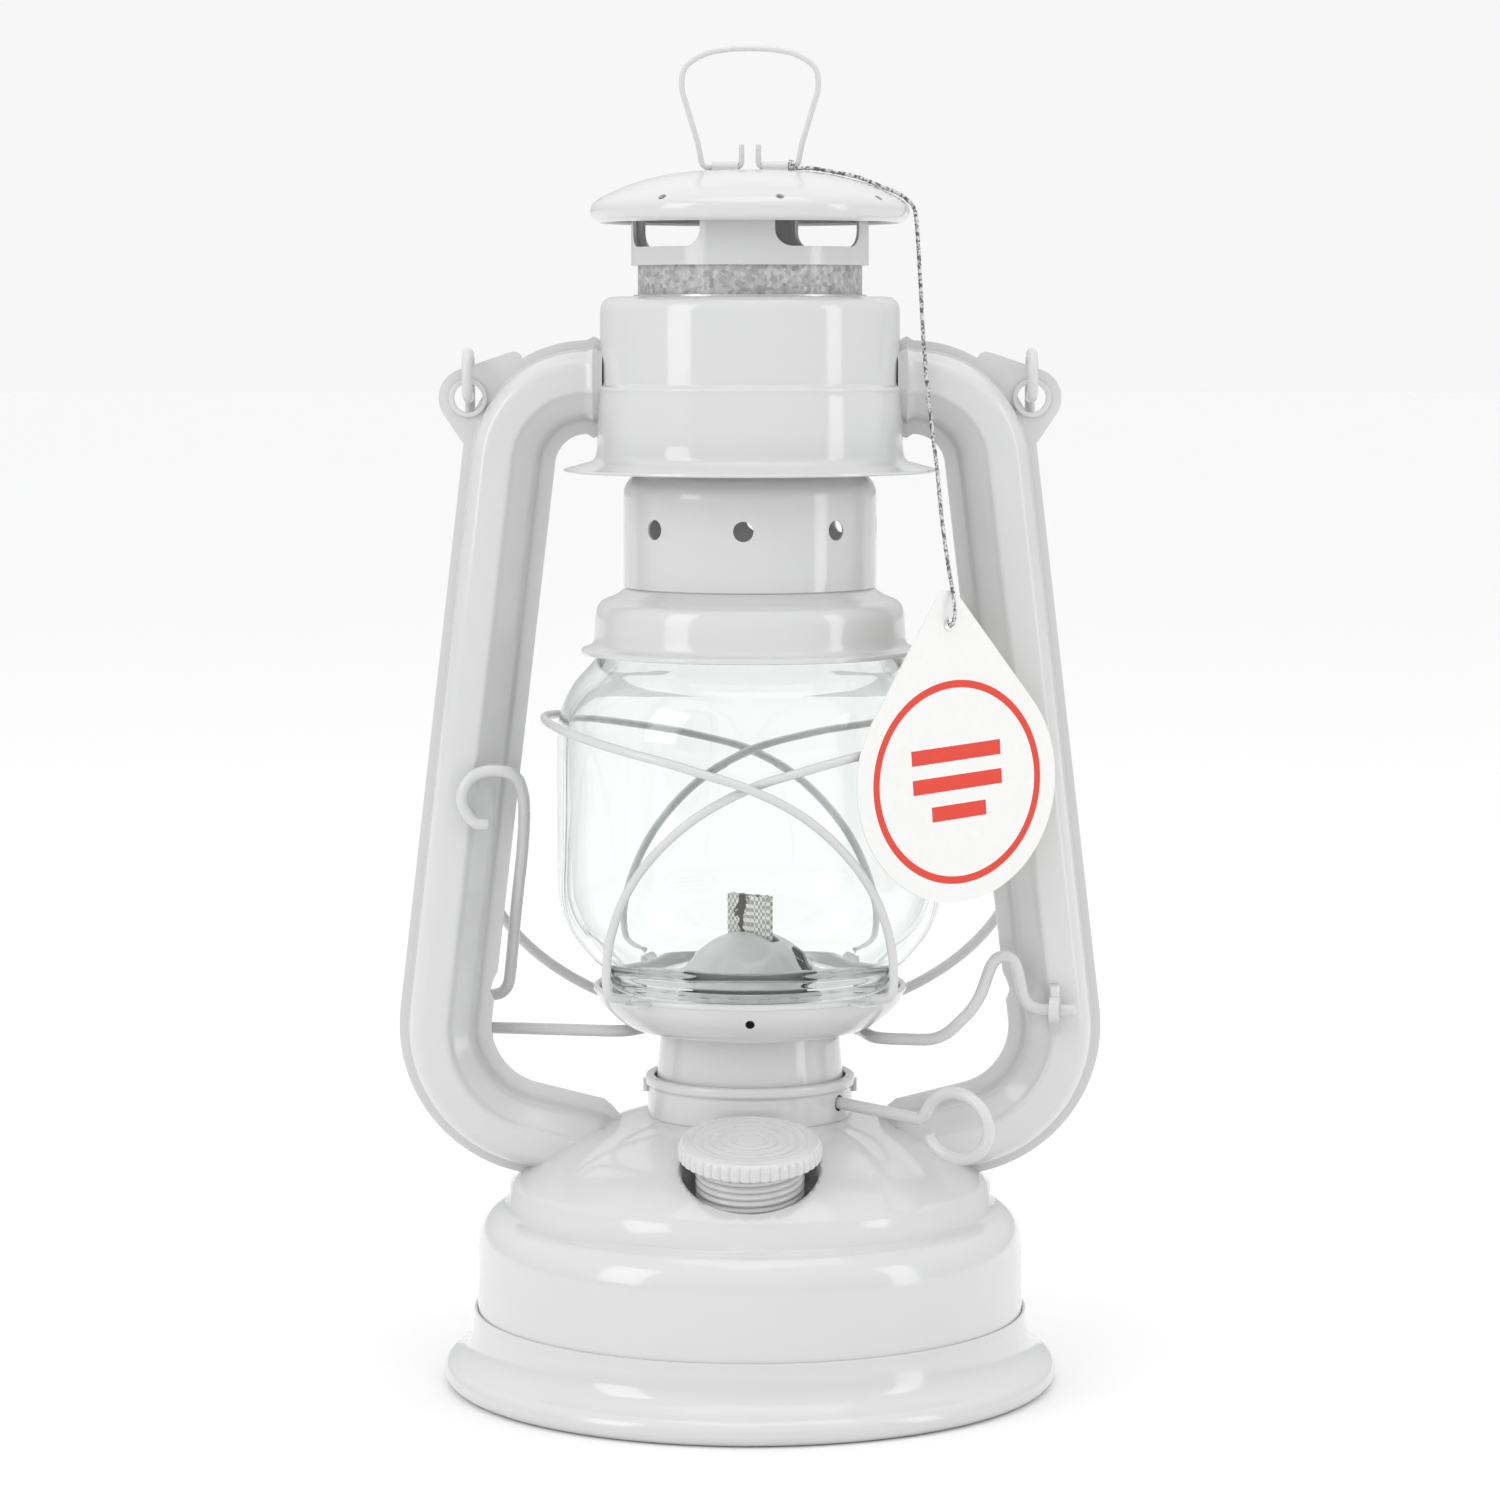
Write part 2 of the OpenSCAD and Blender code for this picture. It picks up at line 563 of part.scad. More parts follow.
module guard_wire_left() { color(white) wire(guard_path(1), guard_wire_r, 8); }
module guard_wire_right() { color(white) mirror([1, 0, 0]) wire(guard_path(-1), guard_wire_r, 8); }
globe_face = smooth([[30, glass_z0], [31, 89.6], [34.6, 93.2], [globe_r - 2.9, 98.6], [globe_r - 0.6, 104.5],
    [globe_r, 111], [globe_r, 139], [globe_r - 0.7, 146], [globe_r - 3.3, 152],
    [34.6, 156.4], [32.2, 159.6], [31.6, 163], [31.6, glass_z1]], 3);
module globe() { color([0.85, 0.92, 0.92, 0.4]) pressed(globe_face, glass); }

// ---- hood, chimney and cap -----------------------------------------------------------------

module hood() {
    face = concat([[36.5, hood_z], [36.5, hood_z + 0.8], [34.6, hood_z + 1.4]],
        [[33.8, hood_z + 2.4], [33.5, 167.5]],
        bend([33.4, 168], [33, 169.8], [31.4, 170.6], 3),
        bend([29.6, 171.4], [chimney_r + 0.6, 172.2], [chimney_r + 0.2, shoulder_top - 0.6], 3),
        [[chimney_r - 0.62, shoulder_top - 0.1], [chimney_r - 0.62, shoulder_top + 5]]);
    color(white) pressed(face, 0.6);
}
module chimney() {
    color(white) difference() {
        pressed([[chimney_r, shoulder_top], [chimney_r, 195], [neck_r + 0.1, neck_z - 0.6],
            [neck_r + 0.1, neck_z + 4]], 0.6);
        for (a = [0:45:315]) rotate([0, 0, a - 93]) translate([0, 0, 186.4]) along_x(2.15, 20, 32);
    }
}
module neck_tube() {
    color([0.7, 0.71, 0.72]) tube_z(neck_r - 0.55, neck_z, cage_z + 2.4, 0.5);
    color([0.7, 0.71, 0.72]) tube_z(neck_r, neck_z + 4.2, cage_z + 2.4, 0.6);
}
module cage_window(w, h, r) {
    rotate([90, 0, 90]) linear_extrude(20) {
        translate([-w / 2 + r, 0]) square([w - 2 * r, h]);
        translate([-w / 2, r]) square([w, h - 2 * r]);
        for (x = [-w / 2 + r, w / 2 - r]) for (y = [r, h - r]) translate([x, y]) circle(r = r, $fn = 32);
    }
}
module cap_cage() {
    outer = neck_r + 1.4;
    color(white) difference() {
        union() {
            tube_z(outer, cage_z, 257.2, 0.8);
            tube_z(outer, cage_z, cage_z + 3.4, 1.38);
        }
        for (k = [0:3]) rotate([0, 0, 38.7 + 90 * k]) translate([12, 0, 246.2]) cage_window(23, 11, 3.5);
    }
}
module vent_cap() {
    face = concat([[vent_r - 1.8, 251.3], [vent_r - 0.5, 252.2]],
        bend([vent_r, 253.2], [vent_r + 0.1, 255.8], [vent_r - 4, 257.4], 5),
        bend([24, 260.2], [16, cap_z - 0.1], [10, cap_z], 6), [[0.8, cap_z]]);
    color(white) difference() {
        union() {
            pressed(face, 0.6);
            translate([0, 0, cap_z - 0.6]) cylinder(r = 2, h = 0.6);
            tube_z(neck_r + 2.1, 256.4, 258.8, 0.6);
        }
        for (k = [0:7]) rotate([0, 0, -79 + 45 * k]) translate([vent_r - 1.9, 0, cap_z - 6.4])
            rotate([0, 45, 0]) cylinder(r = 0.85, h = 7, center = true);
    }
}
ring_z = cap_z + 0.8;
module ring_straps() {
    color(white) intersection() {
        for (x = [-8.2, 2.6]) translate([0, 0, ring_z]) difference() {
            union() {
                along_x(ring_r + 0.62, x, x + 5.6);
                translate([x, -3, -0.8]) cube([5.6, 6, 0.4]);
            }
            along_x(ring_r + run, x - 1, x + 8);
        }
        translate([-20, -20, cap_z]) cube([40, 40, 10]);
    }
}
ring_shape = [[1.8, 5], [1.8, 0], [10.2, 0], [11.2, 5.2], [13.4, 12.5], [14.6, 17], [13.8, 21.2],
    [9.6, 24], [4.5, 25], [0, 25.2]];
ring_half = smooth([for (p = ring_shape) [p[0], 0, ring_z + p[1]]], 1);
module lifting_ring() {
    half = concat([ring_half[0]], rounded([for (i = [0:3]) ring_half[i]], 1.2, 3),
        smooth([for (i = [3:len(ring_half) - 1]) ring_half[i]], 3));
    clean = [for (i = [1:len(half) - 1]) if (norm(half[i] - half[i - 1]) > 0.01) half[i]];
    full = concat(clean, [for (i = [len(clean) - 2:-1:0]) [-clean[i][0], clean[i][1], clean[i][2]]]);
    color(white) wire(full, ring_r, 10);
}

// ---- string and tag ------------------------------------------------------------------------

string_r = 0.45;
knot_x = 8.85;
tag_turn = 33;
tag_roll = 4;
tag_low = -33.4;
tag_dist = 46.5;
tag_t = 0.5;
tag_hole = [41.6, 167];
string_route = [[8.9, -1.8, 263], [10.8, -2.9, 263], [13.8, -3.2, 262.9], [18, -3.2, 262.2],
    [23, -3.4, 261.1], [28, -3.9, 259.1], [32.2, -4.4, 257.3], [34.7, -5, 255],
    [35.4, -5.6, 252.5], [35.9, -7, 246], [36.4, -9.2, 236], [37, -10.6, 225], [38, -11.3, 214], [39.2, -12.2, 204], [39.9, -13.8, 198],
    [40.6, -18.6, 189], [41.7, -25.4, 179.5], [42.6, -29.4, 173.6], [42.9, -30.4, 170.2], [42.85, -30.3, 168.6],
    [42.62, -29.95, 167.5], [42.25, -29.35, 167.02], [41.85, -28.75, 167]];
module string_knot() {
    color("silver") intersection() {
        translate([knot_x, 0, ring_z]) rotate([0, 90, 0])
            rotate_extrude() translate([ring_r + 0.75, 0]) circle(r = 0.6, $fn = 24);
        translate([0, -10, cap_z + 0.02]) cube(20);
    }
}
module tag_string() { color("silver") wire(smooth(string_route, 2), string_r, 8); }
// the tag's own frame: x along its width, y up, z out of its printed face
function tag_depth(x) = (sin(tag_turn) * x - tag_dist) / cos(tag_turn);
module tag_place() {
    translate([tag_hole[0], tag_depth(tag_hole[0]), tag_hole[1]]) rotate([0, 0, tag_turn])
        rotate([90, 0, 0]) rotate([0, 0, tag_roll]) children();
}
module tag() {
    color("white") tag_place() difference() {
        linear_extrude(tag_t) difference() {
            hull() {
                translate([0, tag_low]) circle(r = 25.6);
                translate([0, 3.6]) circle(r = 3.6);
            }
            circle(r = 1.4);
        }
    }
}
module tag_eyelet() {
    color("silver") tag_place() difference() {
        translate([0, 0, -0.35]) cylinder(r = 1.4, h = tag_t + 0.7);
        translate([0, 0, -1]) cylinder(r = 0.8, h = 3);
    }
}

tank_shell();
foot_ring();
tank_bottom();
fuel_plate();
filler_neck();
filler_cap();
filler_gasket();
burner_collar();
burner_base();
burner_barrel();
wick_tube();
burner_dome();
wick();
wick_shaft();
spur_wheels();
left_tube_front();
left_tube_back();
right_tube_front();
right_tube_back();
bail_eyelets();
lever_lugs();
lift_lever();
bail();
air_chamber();
chamber_floor();
chimney_guide();
globe_plate();
globe_deck();
globe_skirt();
guard_wire_left();
guard_wire_right();
globe();
hood();
chimney();
neck_tube();
cap_cage();
vent_cap();
ring_straps();
lifting_ring();
string_knot();
tag_string();
tag();
tag_eyelet();
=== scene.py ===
# %% [markdown]
# # A paraffin hurricane lantern
#
# The lantern is pressed from thin steel sheet and painted gloss white. Two creased side
# tubes carry spent air from the chamber at the top down to the tank, a clear globe stands
# on a plate that a wire lever lifts, and a wire bail carries the whole thing.
#
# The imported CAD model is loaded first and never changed. It says where every part is, so
# each new surface below takes its place from a CAD node's box and rides on that node's body.

# %% Load the fixed frame
import json
import math

import bmesh
import bpy
import numpy as np
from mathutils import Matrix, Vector


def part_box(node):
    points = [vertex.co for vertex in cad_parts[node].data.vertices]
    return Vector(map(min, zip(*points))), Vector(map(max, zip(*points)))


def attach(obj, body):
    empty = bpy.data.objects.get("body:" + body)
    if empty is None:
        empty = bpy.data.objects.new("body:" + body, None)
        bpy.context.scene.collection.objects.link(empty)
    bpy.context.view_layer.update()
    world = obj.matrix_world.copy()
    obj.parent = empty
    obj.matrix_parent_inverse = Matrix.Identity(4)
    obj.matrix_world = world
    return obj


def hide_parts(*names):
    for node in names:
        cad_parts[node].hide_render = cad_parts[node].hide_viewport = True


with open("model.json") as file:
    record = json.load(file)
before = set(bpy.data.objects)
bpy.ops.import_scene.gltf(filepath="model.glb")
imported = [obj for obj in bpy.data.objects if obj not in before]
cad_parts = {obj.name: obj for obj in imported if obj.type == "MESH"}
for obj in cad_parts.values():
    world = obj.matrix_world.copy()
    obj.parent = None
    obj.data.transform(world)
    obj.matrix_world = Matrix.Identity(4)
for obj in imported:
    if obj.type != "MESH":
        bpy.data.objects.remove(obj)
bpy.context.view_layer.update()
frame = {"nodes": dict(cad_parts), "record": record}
record = frame["record"]
BODY_OF = {node: body for body, nodes in record["behaviour"]["bodies"].items() for node in nodes}
MM = 0.001


def box_mm(node):
    """Lowest and highest corner of a CAD node, in millimetres."""
    low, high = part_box(node)
    return np.array(low) / MM, np.array(high) / MM


# %% [markdown]
# ## The camera
#
# A long lens a metre away keeps the lantern's uprights nearly parallel. The camera stands a
# little under the top of the lantern and looks slightly down, so the tank's dome is seen
# from above and the vent cap from just over its rim.

# %% Stand the camera in front
camera = bpy.data.objects.new("camera", bpy.data.cameras.new("camera"))
bpy.context.scene.collection.objects.link(camera)
camera.location = (0.0, -0.993, 0.2307)
camera.rotation_euler = (math.radians(90 - 5.34), 0.0, 0.0)
camera.data.lens = 110.4
camera.data.sensor_width = 36.0
camera.data.clip_start = 0.01
bpy.context.scene.camera = camera
print("camera at", tuple(round(v, 3) for v in camera.location))

# %% [markdown]
# ## Surfaces from arrays
#
# Nearly every part of a lantern is either turned (a profile carried round the vertical axis)
# or swept (a profile carried along a bent line). Both are a grid of points that depends on
# two parameters, so one function that turns a grid of points into a mesh serves them all.

# %% A grid of points becomes a mesh
def grid_mesh(name, points, wrap_u=False, wrap_v=True, caps=True):
    """points[i, j] is the place in mm at row i and column j of the surface.

    Neighbouring rows and columns span one quad. wrap_u and wrap_v close the grid on itself,
    and caps closes the first and last row with one face each. If the volume that the faces
    enclose, the sum of a . (b x c) / 6 over their triangles, is negative, the faces are
    turned round, so they always point outwards. The UV map holds the distance along the
    rows in metres, and the part of a turn round the columns."""
    points = np.asarray(points, float) * MM
    m, n = points.shape[:2]
    rows = np.arange(m if wrap_u else m - 1)[:, None]
    cols = np.arange(n if wrap_v else n - 1)[None, :]
    corner = lambda di, dj: ((rows + di) % m) * n + (cols + dj) % n
    quads = np.stack([corner(0, 0), corner(0, 1), corner(1, 1), corner(1, 0)], -1).reshape(-1, 4)
    steps = np.linalg.norm(np.diff(points, axis=0), axis=2).mean(1)
    along = np.concatenate([[0], np.cumsum(steps)])
    along = np.append(along, along[-1] + (along[-1] - along[-2]))
    place = lambda di, dj: np.stack(np.broadcast_arrays(along[rows + di], (cols + dj) / n), -1)
    uv = np.stack([place(0, 0), place(0, 1), place(1, 1), place(1, 0)], 2).reshape(-1, 4, 2)
    flat = points.reshape(-1, 3)
    lids = []
    if caps and wrap_v and not wrap_u:
        lids = [np.arange(n)[::-1], np.arange((m - 1) * n, m * n)]
    fans = [np.stack([np.full(n - 2, lid[0]), lid[1:-1], lid[2:]], 1) for lid in lids]
    tris = np.concatenate([quads[:, [0, 1, 2]], quads[:, [0, 2, 3]]] + fans)
    a, b, c = (flat[tris[:, k]] for k in range(3))
    if np.einsum("ij,ij->", a, np.cross(b, c)) < 0:
        quads, uv = quads[:, ::-1], uv[:, ::-1]
        lids = [lid[::-1] for lid in lids]
    mesh = bpy.data.meshes.new(name)
    mesh.from_pydata(flat.tolist(), [], quads.tolist() + [lid.tolist() for lid in lids])
    layer = mesh.uv_layers.new(name="surface")
    blank = [np.zeros((len(lid), 2)) for lid in lids]
    layer.data.foreach_set("uv", np.concatenate([uv.reshape(-1, 2)] + blank).ravel())
    return mesh


def new_object(name, mesh):
    """An object at the origin that shows a mesh; the mesh itself holds the place."""
    obj = bpy.data.objects.new(name, mesh)
    bpy.context.scene.collection.objects.link(obj)
    return obj


# %% [markdown]
# ## Rounded lines and thin walls
#
# Pressed sheet never has a sharp corner, because the metal flows round the tool. So each
# profile is a few corner points, every one with its own rounding length, and the wall is the
# same line moved inwards by the thickness of the sheet.

# %% Round a line's corners, and give it a wall
def rounded_line(points, steps=8):
    """Each corner [x, y, (z,) t] is replaced by the curve (1-s)^2 A + 2 s (1-s) C + s^2 B.

    A and B lie a distance t before and after the corner C, never past 0.49 of an edge."""
    table = np.array(points, float)
    xyz, cut = table[:, :-1], table[:, -1]
    s = np.linspace(0, 1, steps + 1)[:, None]
    line = [xyz[:1]]
    for before, at, after, t in zip(xyz[:-2], xyz[1:-1], xyz[2:], cut[1:-1]):
        to_a, to_b = before - at, after - at
        len_a, len_b = np.linalg.norm(to_a), np.linalg.norm(to_b)
        if t <= 0:
            line.append(at[None])
            continue
        a = at + to_a / len_a * min(t, 0.49 * len_a)
        b = at + to_b / len_b * min(t, 0.49 * len_b)
        line.append((1 - s) ** 2 * a + 2 * s * (1 - s) * at + s ** 2 * b)
    return np.concatenate(line + [xyz[-1:]])


def offset_line(line, distance):
    """Each point moves by distance along 2 m / |m|^2, where m is the sum of the unit normals
    of its two edges. Normals point to the left of the line's direction."""
    edge = np.diff(line, axis=0)
    edge /= np.linalg.norm(edge, axis=1, keepdims=True) + 1e-12
    normal = np.stack([-edge[:, 1], edge[:, 0]], 1)
    m = np.vstack([normal[:1], normal]) + np.vstack([normal, normal[-1:]])
    return line + distance * 2 * m / np.maximum((m * m).sum(1, keepdims=True), 0.8)


def wall(line, thick):
    """A closed outline: the line, a soft nose, the line moved inwards, another soft nose."""
    inner = offset_line(line, thick)
    nose = lambda p, q, away: (p + q) / 2 + (p - away) / np.linalg.norm(p - away) * abs(thick) * 0.3
    last = nose(line[-1], inner[-1], line[-2])
    first = nose(line[0], inner[0], line[1])
    return np.vstack([line, last[None], inner[::-1], first[None]])


def ring_grid(r, a, z):
    """Points x = r cos a, y = r sin a at height z, for arrays that span rows and columns."""
    x = r * np.cos(a)
    return np.stack([x, r * np.sin(a), np.broadcast_to(z, x.shape)], -1)


def turned(name, outline, around=192):
    """A closed profile [r, z] carried round the vertical axis."""
    a = np.linspace(0, 2 * np.pi, around, endpoint=False)
    return grid_mesh(name, ring_grid(outline[:, :1], a, outline[:, 1:]), wrap_u=True)


# %% [markdown]
# ## Wires and cords
#
# A wire is a circle carried along a smooth line. The circle must not spin on its way, so its
# frame is carried from point to point: the last normal loses its part along the new direction
# and keeps its length. The ends are closed with a small dome, as a cut and burred wire has.

# %% Smooth a path, and carry a circle along it
def smooth_path(points, step=1.2):
    """Catmull-Rom: between p1 and p2 the point is half of 2 p1 + (p2-p0) s
    + (2 p0 - 5 p1 + 4 p2 - p3) s^2 + (3 p1 - p0 - 3 p2 + p3) s^3."""
    p = np.asarray(points, float)
    p = np.vstack([2 * p[0] - p[1], p, 2 * p[-1] - p[-2]])
    out = []
    for p0, p1, p2, p3 in zip(p[:-3], p[1:-2], p[2:-1], p[3:]):
        count = max(2, int(np.ceil(np.linalg.norm(p2 - p1) / step)))
        s = np.linspace(0, 1, count, endpoint=False)[:, None]
        out.append(0.5 * (2 * p1 + (p2 - p0) * s + (2 * p0 - 5 * p1 + 4 * p2 - p3) * s ** 2
                          + (3 * p1 - p0 - 3 * p2 + p3) * s ** 3))
    return np.vstack(out + [p[-2:-1]])


def path_frames(path):
    """Direction, normal and side vector at each point, carried without twist."""
    direction = np.gradient(path, axis=0)
    direction /= np.linalg.norm(direction, axis=1, keepdims=True)
    normal = np.zeros_like(path)
    n = np.cross(direction[0], [0.3, 0.9, 0.1])
    for i, d in enumerate(direction):
        n = n - d * n.dot(d)
        n /= np.linalg.norm(n)
        normal[i] = n
    return direction, normal, np.cross(direction, normal)


def wire_mesh(name, path, radius, sides=20, domed=True):
    """Point (i, j) is path_i + radius_i (cos t_j normal_i + sin t_j side_i)."""
    direction, normal, side = path_frames(path)
    r = np.broadcast_to(np.asarray(radius, float), len(path)).copy()
    if domed:
        a = np.radians([88, 65, 40, 18])
        bulge = 0.6
        start = path[0] + direction[0] * (r[0] * bulge * (1 - np.sin(a)))[:, None]
        end = path[-1] - direction[-1] * (r[-1] * bulge * (1 - np.sin(a[::-1])))[:, None]
        keep = slice(1, -1)
        body, along_r = path[keep], r[keep]
        path = np.vstack([start, body, end])
        r = np.concatenate([np.cos(a) * r[0], along_r, np.cos(a[::-1]) * r[-1]])
        widen = lambda v: np.vstack([np.repeat(v[:1], 4, 0), v[keep], np.repeat(v[-1:], 4, 0)])
        normal, side = widen(normal), widen(side)
    t = np.linspace(0, 2 * np.pi, sides, endpoint=False)
    ring = np.cos(t)[None, :, None] * normal[:, None] + np.sin(t)[None, :, None] * side[:, None]
    return grid_mesh(name, path[:, None] + r[:, None, None] * ring)


# %% [markdown]
# ## Finishing a piece
#
# A new piece needs a paint, smooth shading with the true creases kept sharp, and a CAD body
# to ride on. The CAD node that it stands for is hidden, but stays for collisions.

# %% Ride, replace and shade
def finish_piece(obj, nodes, paint, crease=38):
    """Paints and shades a piece, and hands it to the body of the nodes that it stands for."""
    mesh = obj.data
    mesh.materials.clear()
    mesh.materials.append(paint)
    mesh.shade_smooth()
    mesh.set_sharp_from_angle(angle=math.radians(crease))
    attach(obj, BODY_OF[nodes[0]])
    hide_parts(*nodes)
    print(f"{obj.name}: {len(mesh.polygons)} faces, for {', '.join(nodes)}")
    return obj


def weld(mesh, distance=1e-6):
    """Merges points that lie within a micron of each other."""
    work = bmesh.new()
    work.from_mesh(mesh)
    bmesh.ops.remove_doubles(work, verts=work.verts, dist=distance)
    work.to_mesh(mesh)
    work.free()


def join_meshes(name, meshes):
    """One mesh with the faces of several, each a closed shell of its own."""
    work = bmesh.new()
    for mesh in meshes:
        work.from_mesh(mesh)
    joined = bpy.data.meshes.new(name)
    work.to_mesh(joined)
    work.free()
    return joined


def drill(obj, cutters):
    """Takes the cutters' room out of a piece, and leaves a plain mesh with no modifier."""
    tool = new_object(obj.name + "_tool", join_meshes("tool", cutters))
    cut = obj.modifiers.new("cut", "BOOLEAN")
    cut.operation, cut.solver, cut.object = "DIFFERENCE", "EXACT", tool
    bpy.context.view_layer.update()
    shape = obj.evaluated_get(bpy.context.evaluated_depsgraph_get())
    mesh = bpy.data.meshes.new_from_object(shape)
    obj.modifiers.clear()
    obj.data = mesh
    bpy.data.objects.remove(tool)
    return obj


def rod(start, end, radius, sides=32):
    """A plain closed cylinder from start to end, used as a drill."""
    path = np.linspace(start, end, 3)
    return wire_mesh("rod", path, radius, sides, domed=False)


def on_circle(r, angle, z):
    """The place at radius r, turned by the angle round the lantern's axis, at height z."""
    return (r * math.cos(angle), r * math.sin(angle), z)


def dressed(node, paint, crease=32):
    """A welded copy of a CAD node, shaded smooth except over its real edges."""
    mesh = frame["nodes"][node].data.copy()
    weld(mesh)
    return finish_piece(new_object(node + "_skin", mesh), [node], paint, crease)


# %% [markdown]
# ## Shared finish groups
#
# Paint, bare metal and cotton all need small changes over their surface. Each effect is a
# node group with named inputs, so that every material sets its own strength and size.

# %% Build a node group
def new_group(name, inputs, outputs):
    """A node group with named sockets, and its input and output nodes."""
    tree = bpy.data.node_groups.new(name, "ShaderNodeTree")
    for label, kind, value in inputs:
        tree.interface.new_socket(label, in_out="INPUT", socket_type=kind).default_value = value
    for label, kind in outputs:
        tree.interface.new_socket(label, in_out="OUTPUT", socket_type=kind)
    return tree, tree.nodes.new("NodeGroupInput"), tree.nodes.new("NodeGroupOutput")


def add(tree, kind, **values):
    """A new node with its properties and input values set by name."""
    node = tree.nodes.new(kind)
    for key, value in values.items():
        if hasattr(node, key):
            setattr(node, key, value)
        else:
            node.inputs[key.replace("_", " ")].default_value = value
    return node


def link(tree, *pairs):
    """Joins each output to its input."""
    for source, target in pairs:
        tree.links.new(source, target)


def new_material(name):
    """A material with nodes, and its tree and Principled shader."""
    made = bpy.data.materials.new(name)
    made.use_nodes = True
    return made, made.node_tree, made.node_tree.nodes["Principled BSDF"]


def two_tone(tree, *stops):
    """A colour ramp with two (position, colour) stops."""
    ramp = tree.nodes.new("ShaderNodeValToRGB")
    for element, (position, colour) in zip(ramp.color_ramp.elements, stops):
        element.position = position
        element.color = colour
    return ramp


FLOAT, COLOUR = "NodeSocketFloat", "NodeSocketColor"

# %% Paint skin: faint orange peel, cloudy gloss, a hint of tone
paint_skin, skin_in, skin_out = new_group(
    "paint_skin",
    [("Colour", COLOUR, (0.8, 0.8, 0.8, 1)), ("Shade", COLOUR, (0.7, 0.7, 0.7, 1)),
     ("Gloss low", FLOAT, 0.12), ("Gloss high", FLOAT, 0.24), ("Peel per metre", FLOAT, 700.0)],
    [("Colour", COLOUR), ("Roughness", FLOAT), ("Height", FLOAT)])
where = add(paint_skin, "ShaderNodeTexCoord")
cloud = add(paint_skin, "ShaderNodeTexNoise", Scale=28.0, Detail=3.0)
speck = add(paint_skin, "ShaderNodeTexNoise", Scale=260.0, Detail=2.0)
peel = add(paint_skin, "ShaderNodeTexNoise", Detail=1.0)
tone = add(paint_skin, "ShaderNodeMix", data_type="RGBA")
gloss = add(paint_skin, "ShaderNodeMapRange", From_Min=0.35, From_Max=0.7)
for noise in (cloud, speck, peel):
    link(paint_skin, (where.outputs["Object"], noise.inputs["Vector"]))
link(paint_skin,
     (skin_in.outputs["Peel per metre"], peel.inputs["Scale"]),
     (cloud.outputs["Fac"], tone.inputs["Factor"]),
     (skin_in.outputs["Colour"], tone.inputs["A"]),
     (skin_in.outputs["Shade"], tone.inputs["B"]),
     (speck.outputs["Fac"], gloss.inputs["Value"]),
     (skin_in.outputs["Gloss low"], gloss.inputs["To Min"]),
     (skin_in.outputs["Gloss high"], gloss.inputs["To Max"]),
     (tone.outputs["Result"], skin_out.inputs["Colour"]),
     (gloss.outputs["Result"], skin_out.inputs["Roughness"]),
     (peel.outputs["Fac"], skin_out.inputs["Height"]))

# %% Metal bloom: the cloudy crystals of galvanised or tinned sheet
metal_bloom, bloom_in, bloom_out = new_group(
    "metal_bloom",
    [("Light", COLOUR, (0.8, 0.8, 0.8, 1)), ("Dark", COLOUR, (0.4, 0.4, 0.4, 1)),
     ("Crystals per metre", FLOAT, 260.0), ("Rough low", FLOAT, 0.25), ("Rough high", FLOAT, 0.5)],
    [("Colour", COLOUR), ("Roughness", FLOAT), ("Height", FLOAT)])
where = add(metal_bloom, "ShaderNodeTexCoord")
cells = add(metal_bloom, "ShaderNodeTexVoronoi")
smear = add(metal_bloom, "ShaderNodeTexNoise", Scale=420.0, Detail=4.0, Distortion=0.6)
blend = add(metal_bloom, "ShaderNodeMix", data_type="FLOAT", Factor=0.55)
tone = add(metal_bloom, "ShaderNodeMix", data_type="RGBA")
rough = add(metal_bloom, "ShaderNodeMapRange", From_Min=0.2, From_Max=0.8)
link(metal_bloom,
     (where.outputs["Object"], cells.inputs["Vector"]),
     (where.outputs["Object"], smear.inputs["Vector"]),
     (bloom_in.outputs["Crystals per metre"], cells.inputs["Scale"]),
     (cells.outputs["Color"], blend.inputs["A"]),
     (smear.outputs["Fac"], blend.inputs["B"]),
     (blend.outputs["Result"], tone.inputs["Factor"]),
     (bloom_in.outputs["Dark"], tone.inputs["A"]),
     (bloom_in.outputs["Light"], tone.inputs["B"]),
     (blend.outputs["Result"], rough.inputs["Value"]),
     (bloom_in.outputs["Rough low"], rough.inputs["To Min"]),
     (bloom_in.outputs["Rough high"], rough.inputs["To Max"]),
     (tone.outputs["Result"], bloom_out.inputs["Colour"]),
     (rough.outputs["Result"], bloom_out.inputs["Roughness"]),
     (blend.outputs["Result"], bloom_out.inputs["Height"]))
print("groups:", [g.name for g in bpy.data.node_groups])

# %% [markdown]
# ## The finishes
#
# The enamel is nearly pure white, so its look is all in the gloss: a sharp clear coat over a
# slightly softer base. Wire is painted by dipping, so its skin is a little thicker and
# softer than the sheet's.

# %% One function makes every finish that a group drives
def new_finish(name, group, group_values, bump, **shader_values):
    """A Principled shader whose colour, roughness and bump come from a shared group."""
    finish, tree, shader = new_material(name)
    for key, value in shader_values.items():
        shader.inputs[key.replace("_", " ")].default_value = value
    skin = tree.nodes.new("ShaderNodeGroup")
    skin.node_tree = group
    for key, value in group_values.items():
        skin.inputs[key].default_value = value
    relief = add(tree, "ShaderNodeBump", Strength=bump[0], Distance=bump[1])
    link(tree,
         (skin.outputs["Colour"], shader.inputs["Base Color"]),
         (skin.outputs["Roughness"], shader.inputs["Roughness"]),
         (skin.outputs["Height"], relief.inputs["Height"]),
         (relief.outputs["Normal"], shader.inputs["Normal"]))
    return finish


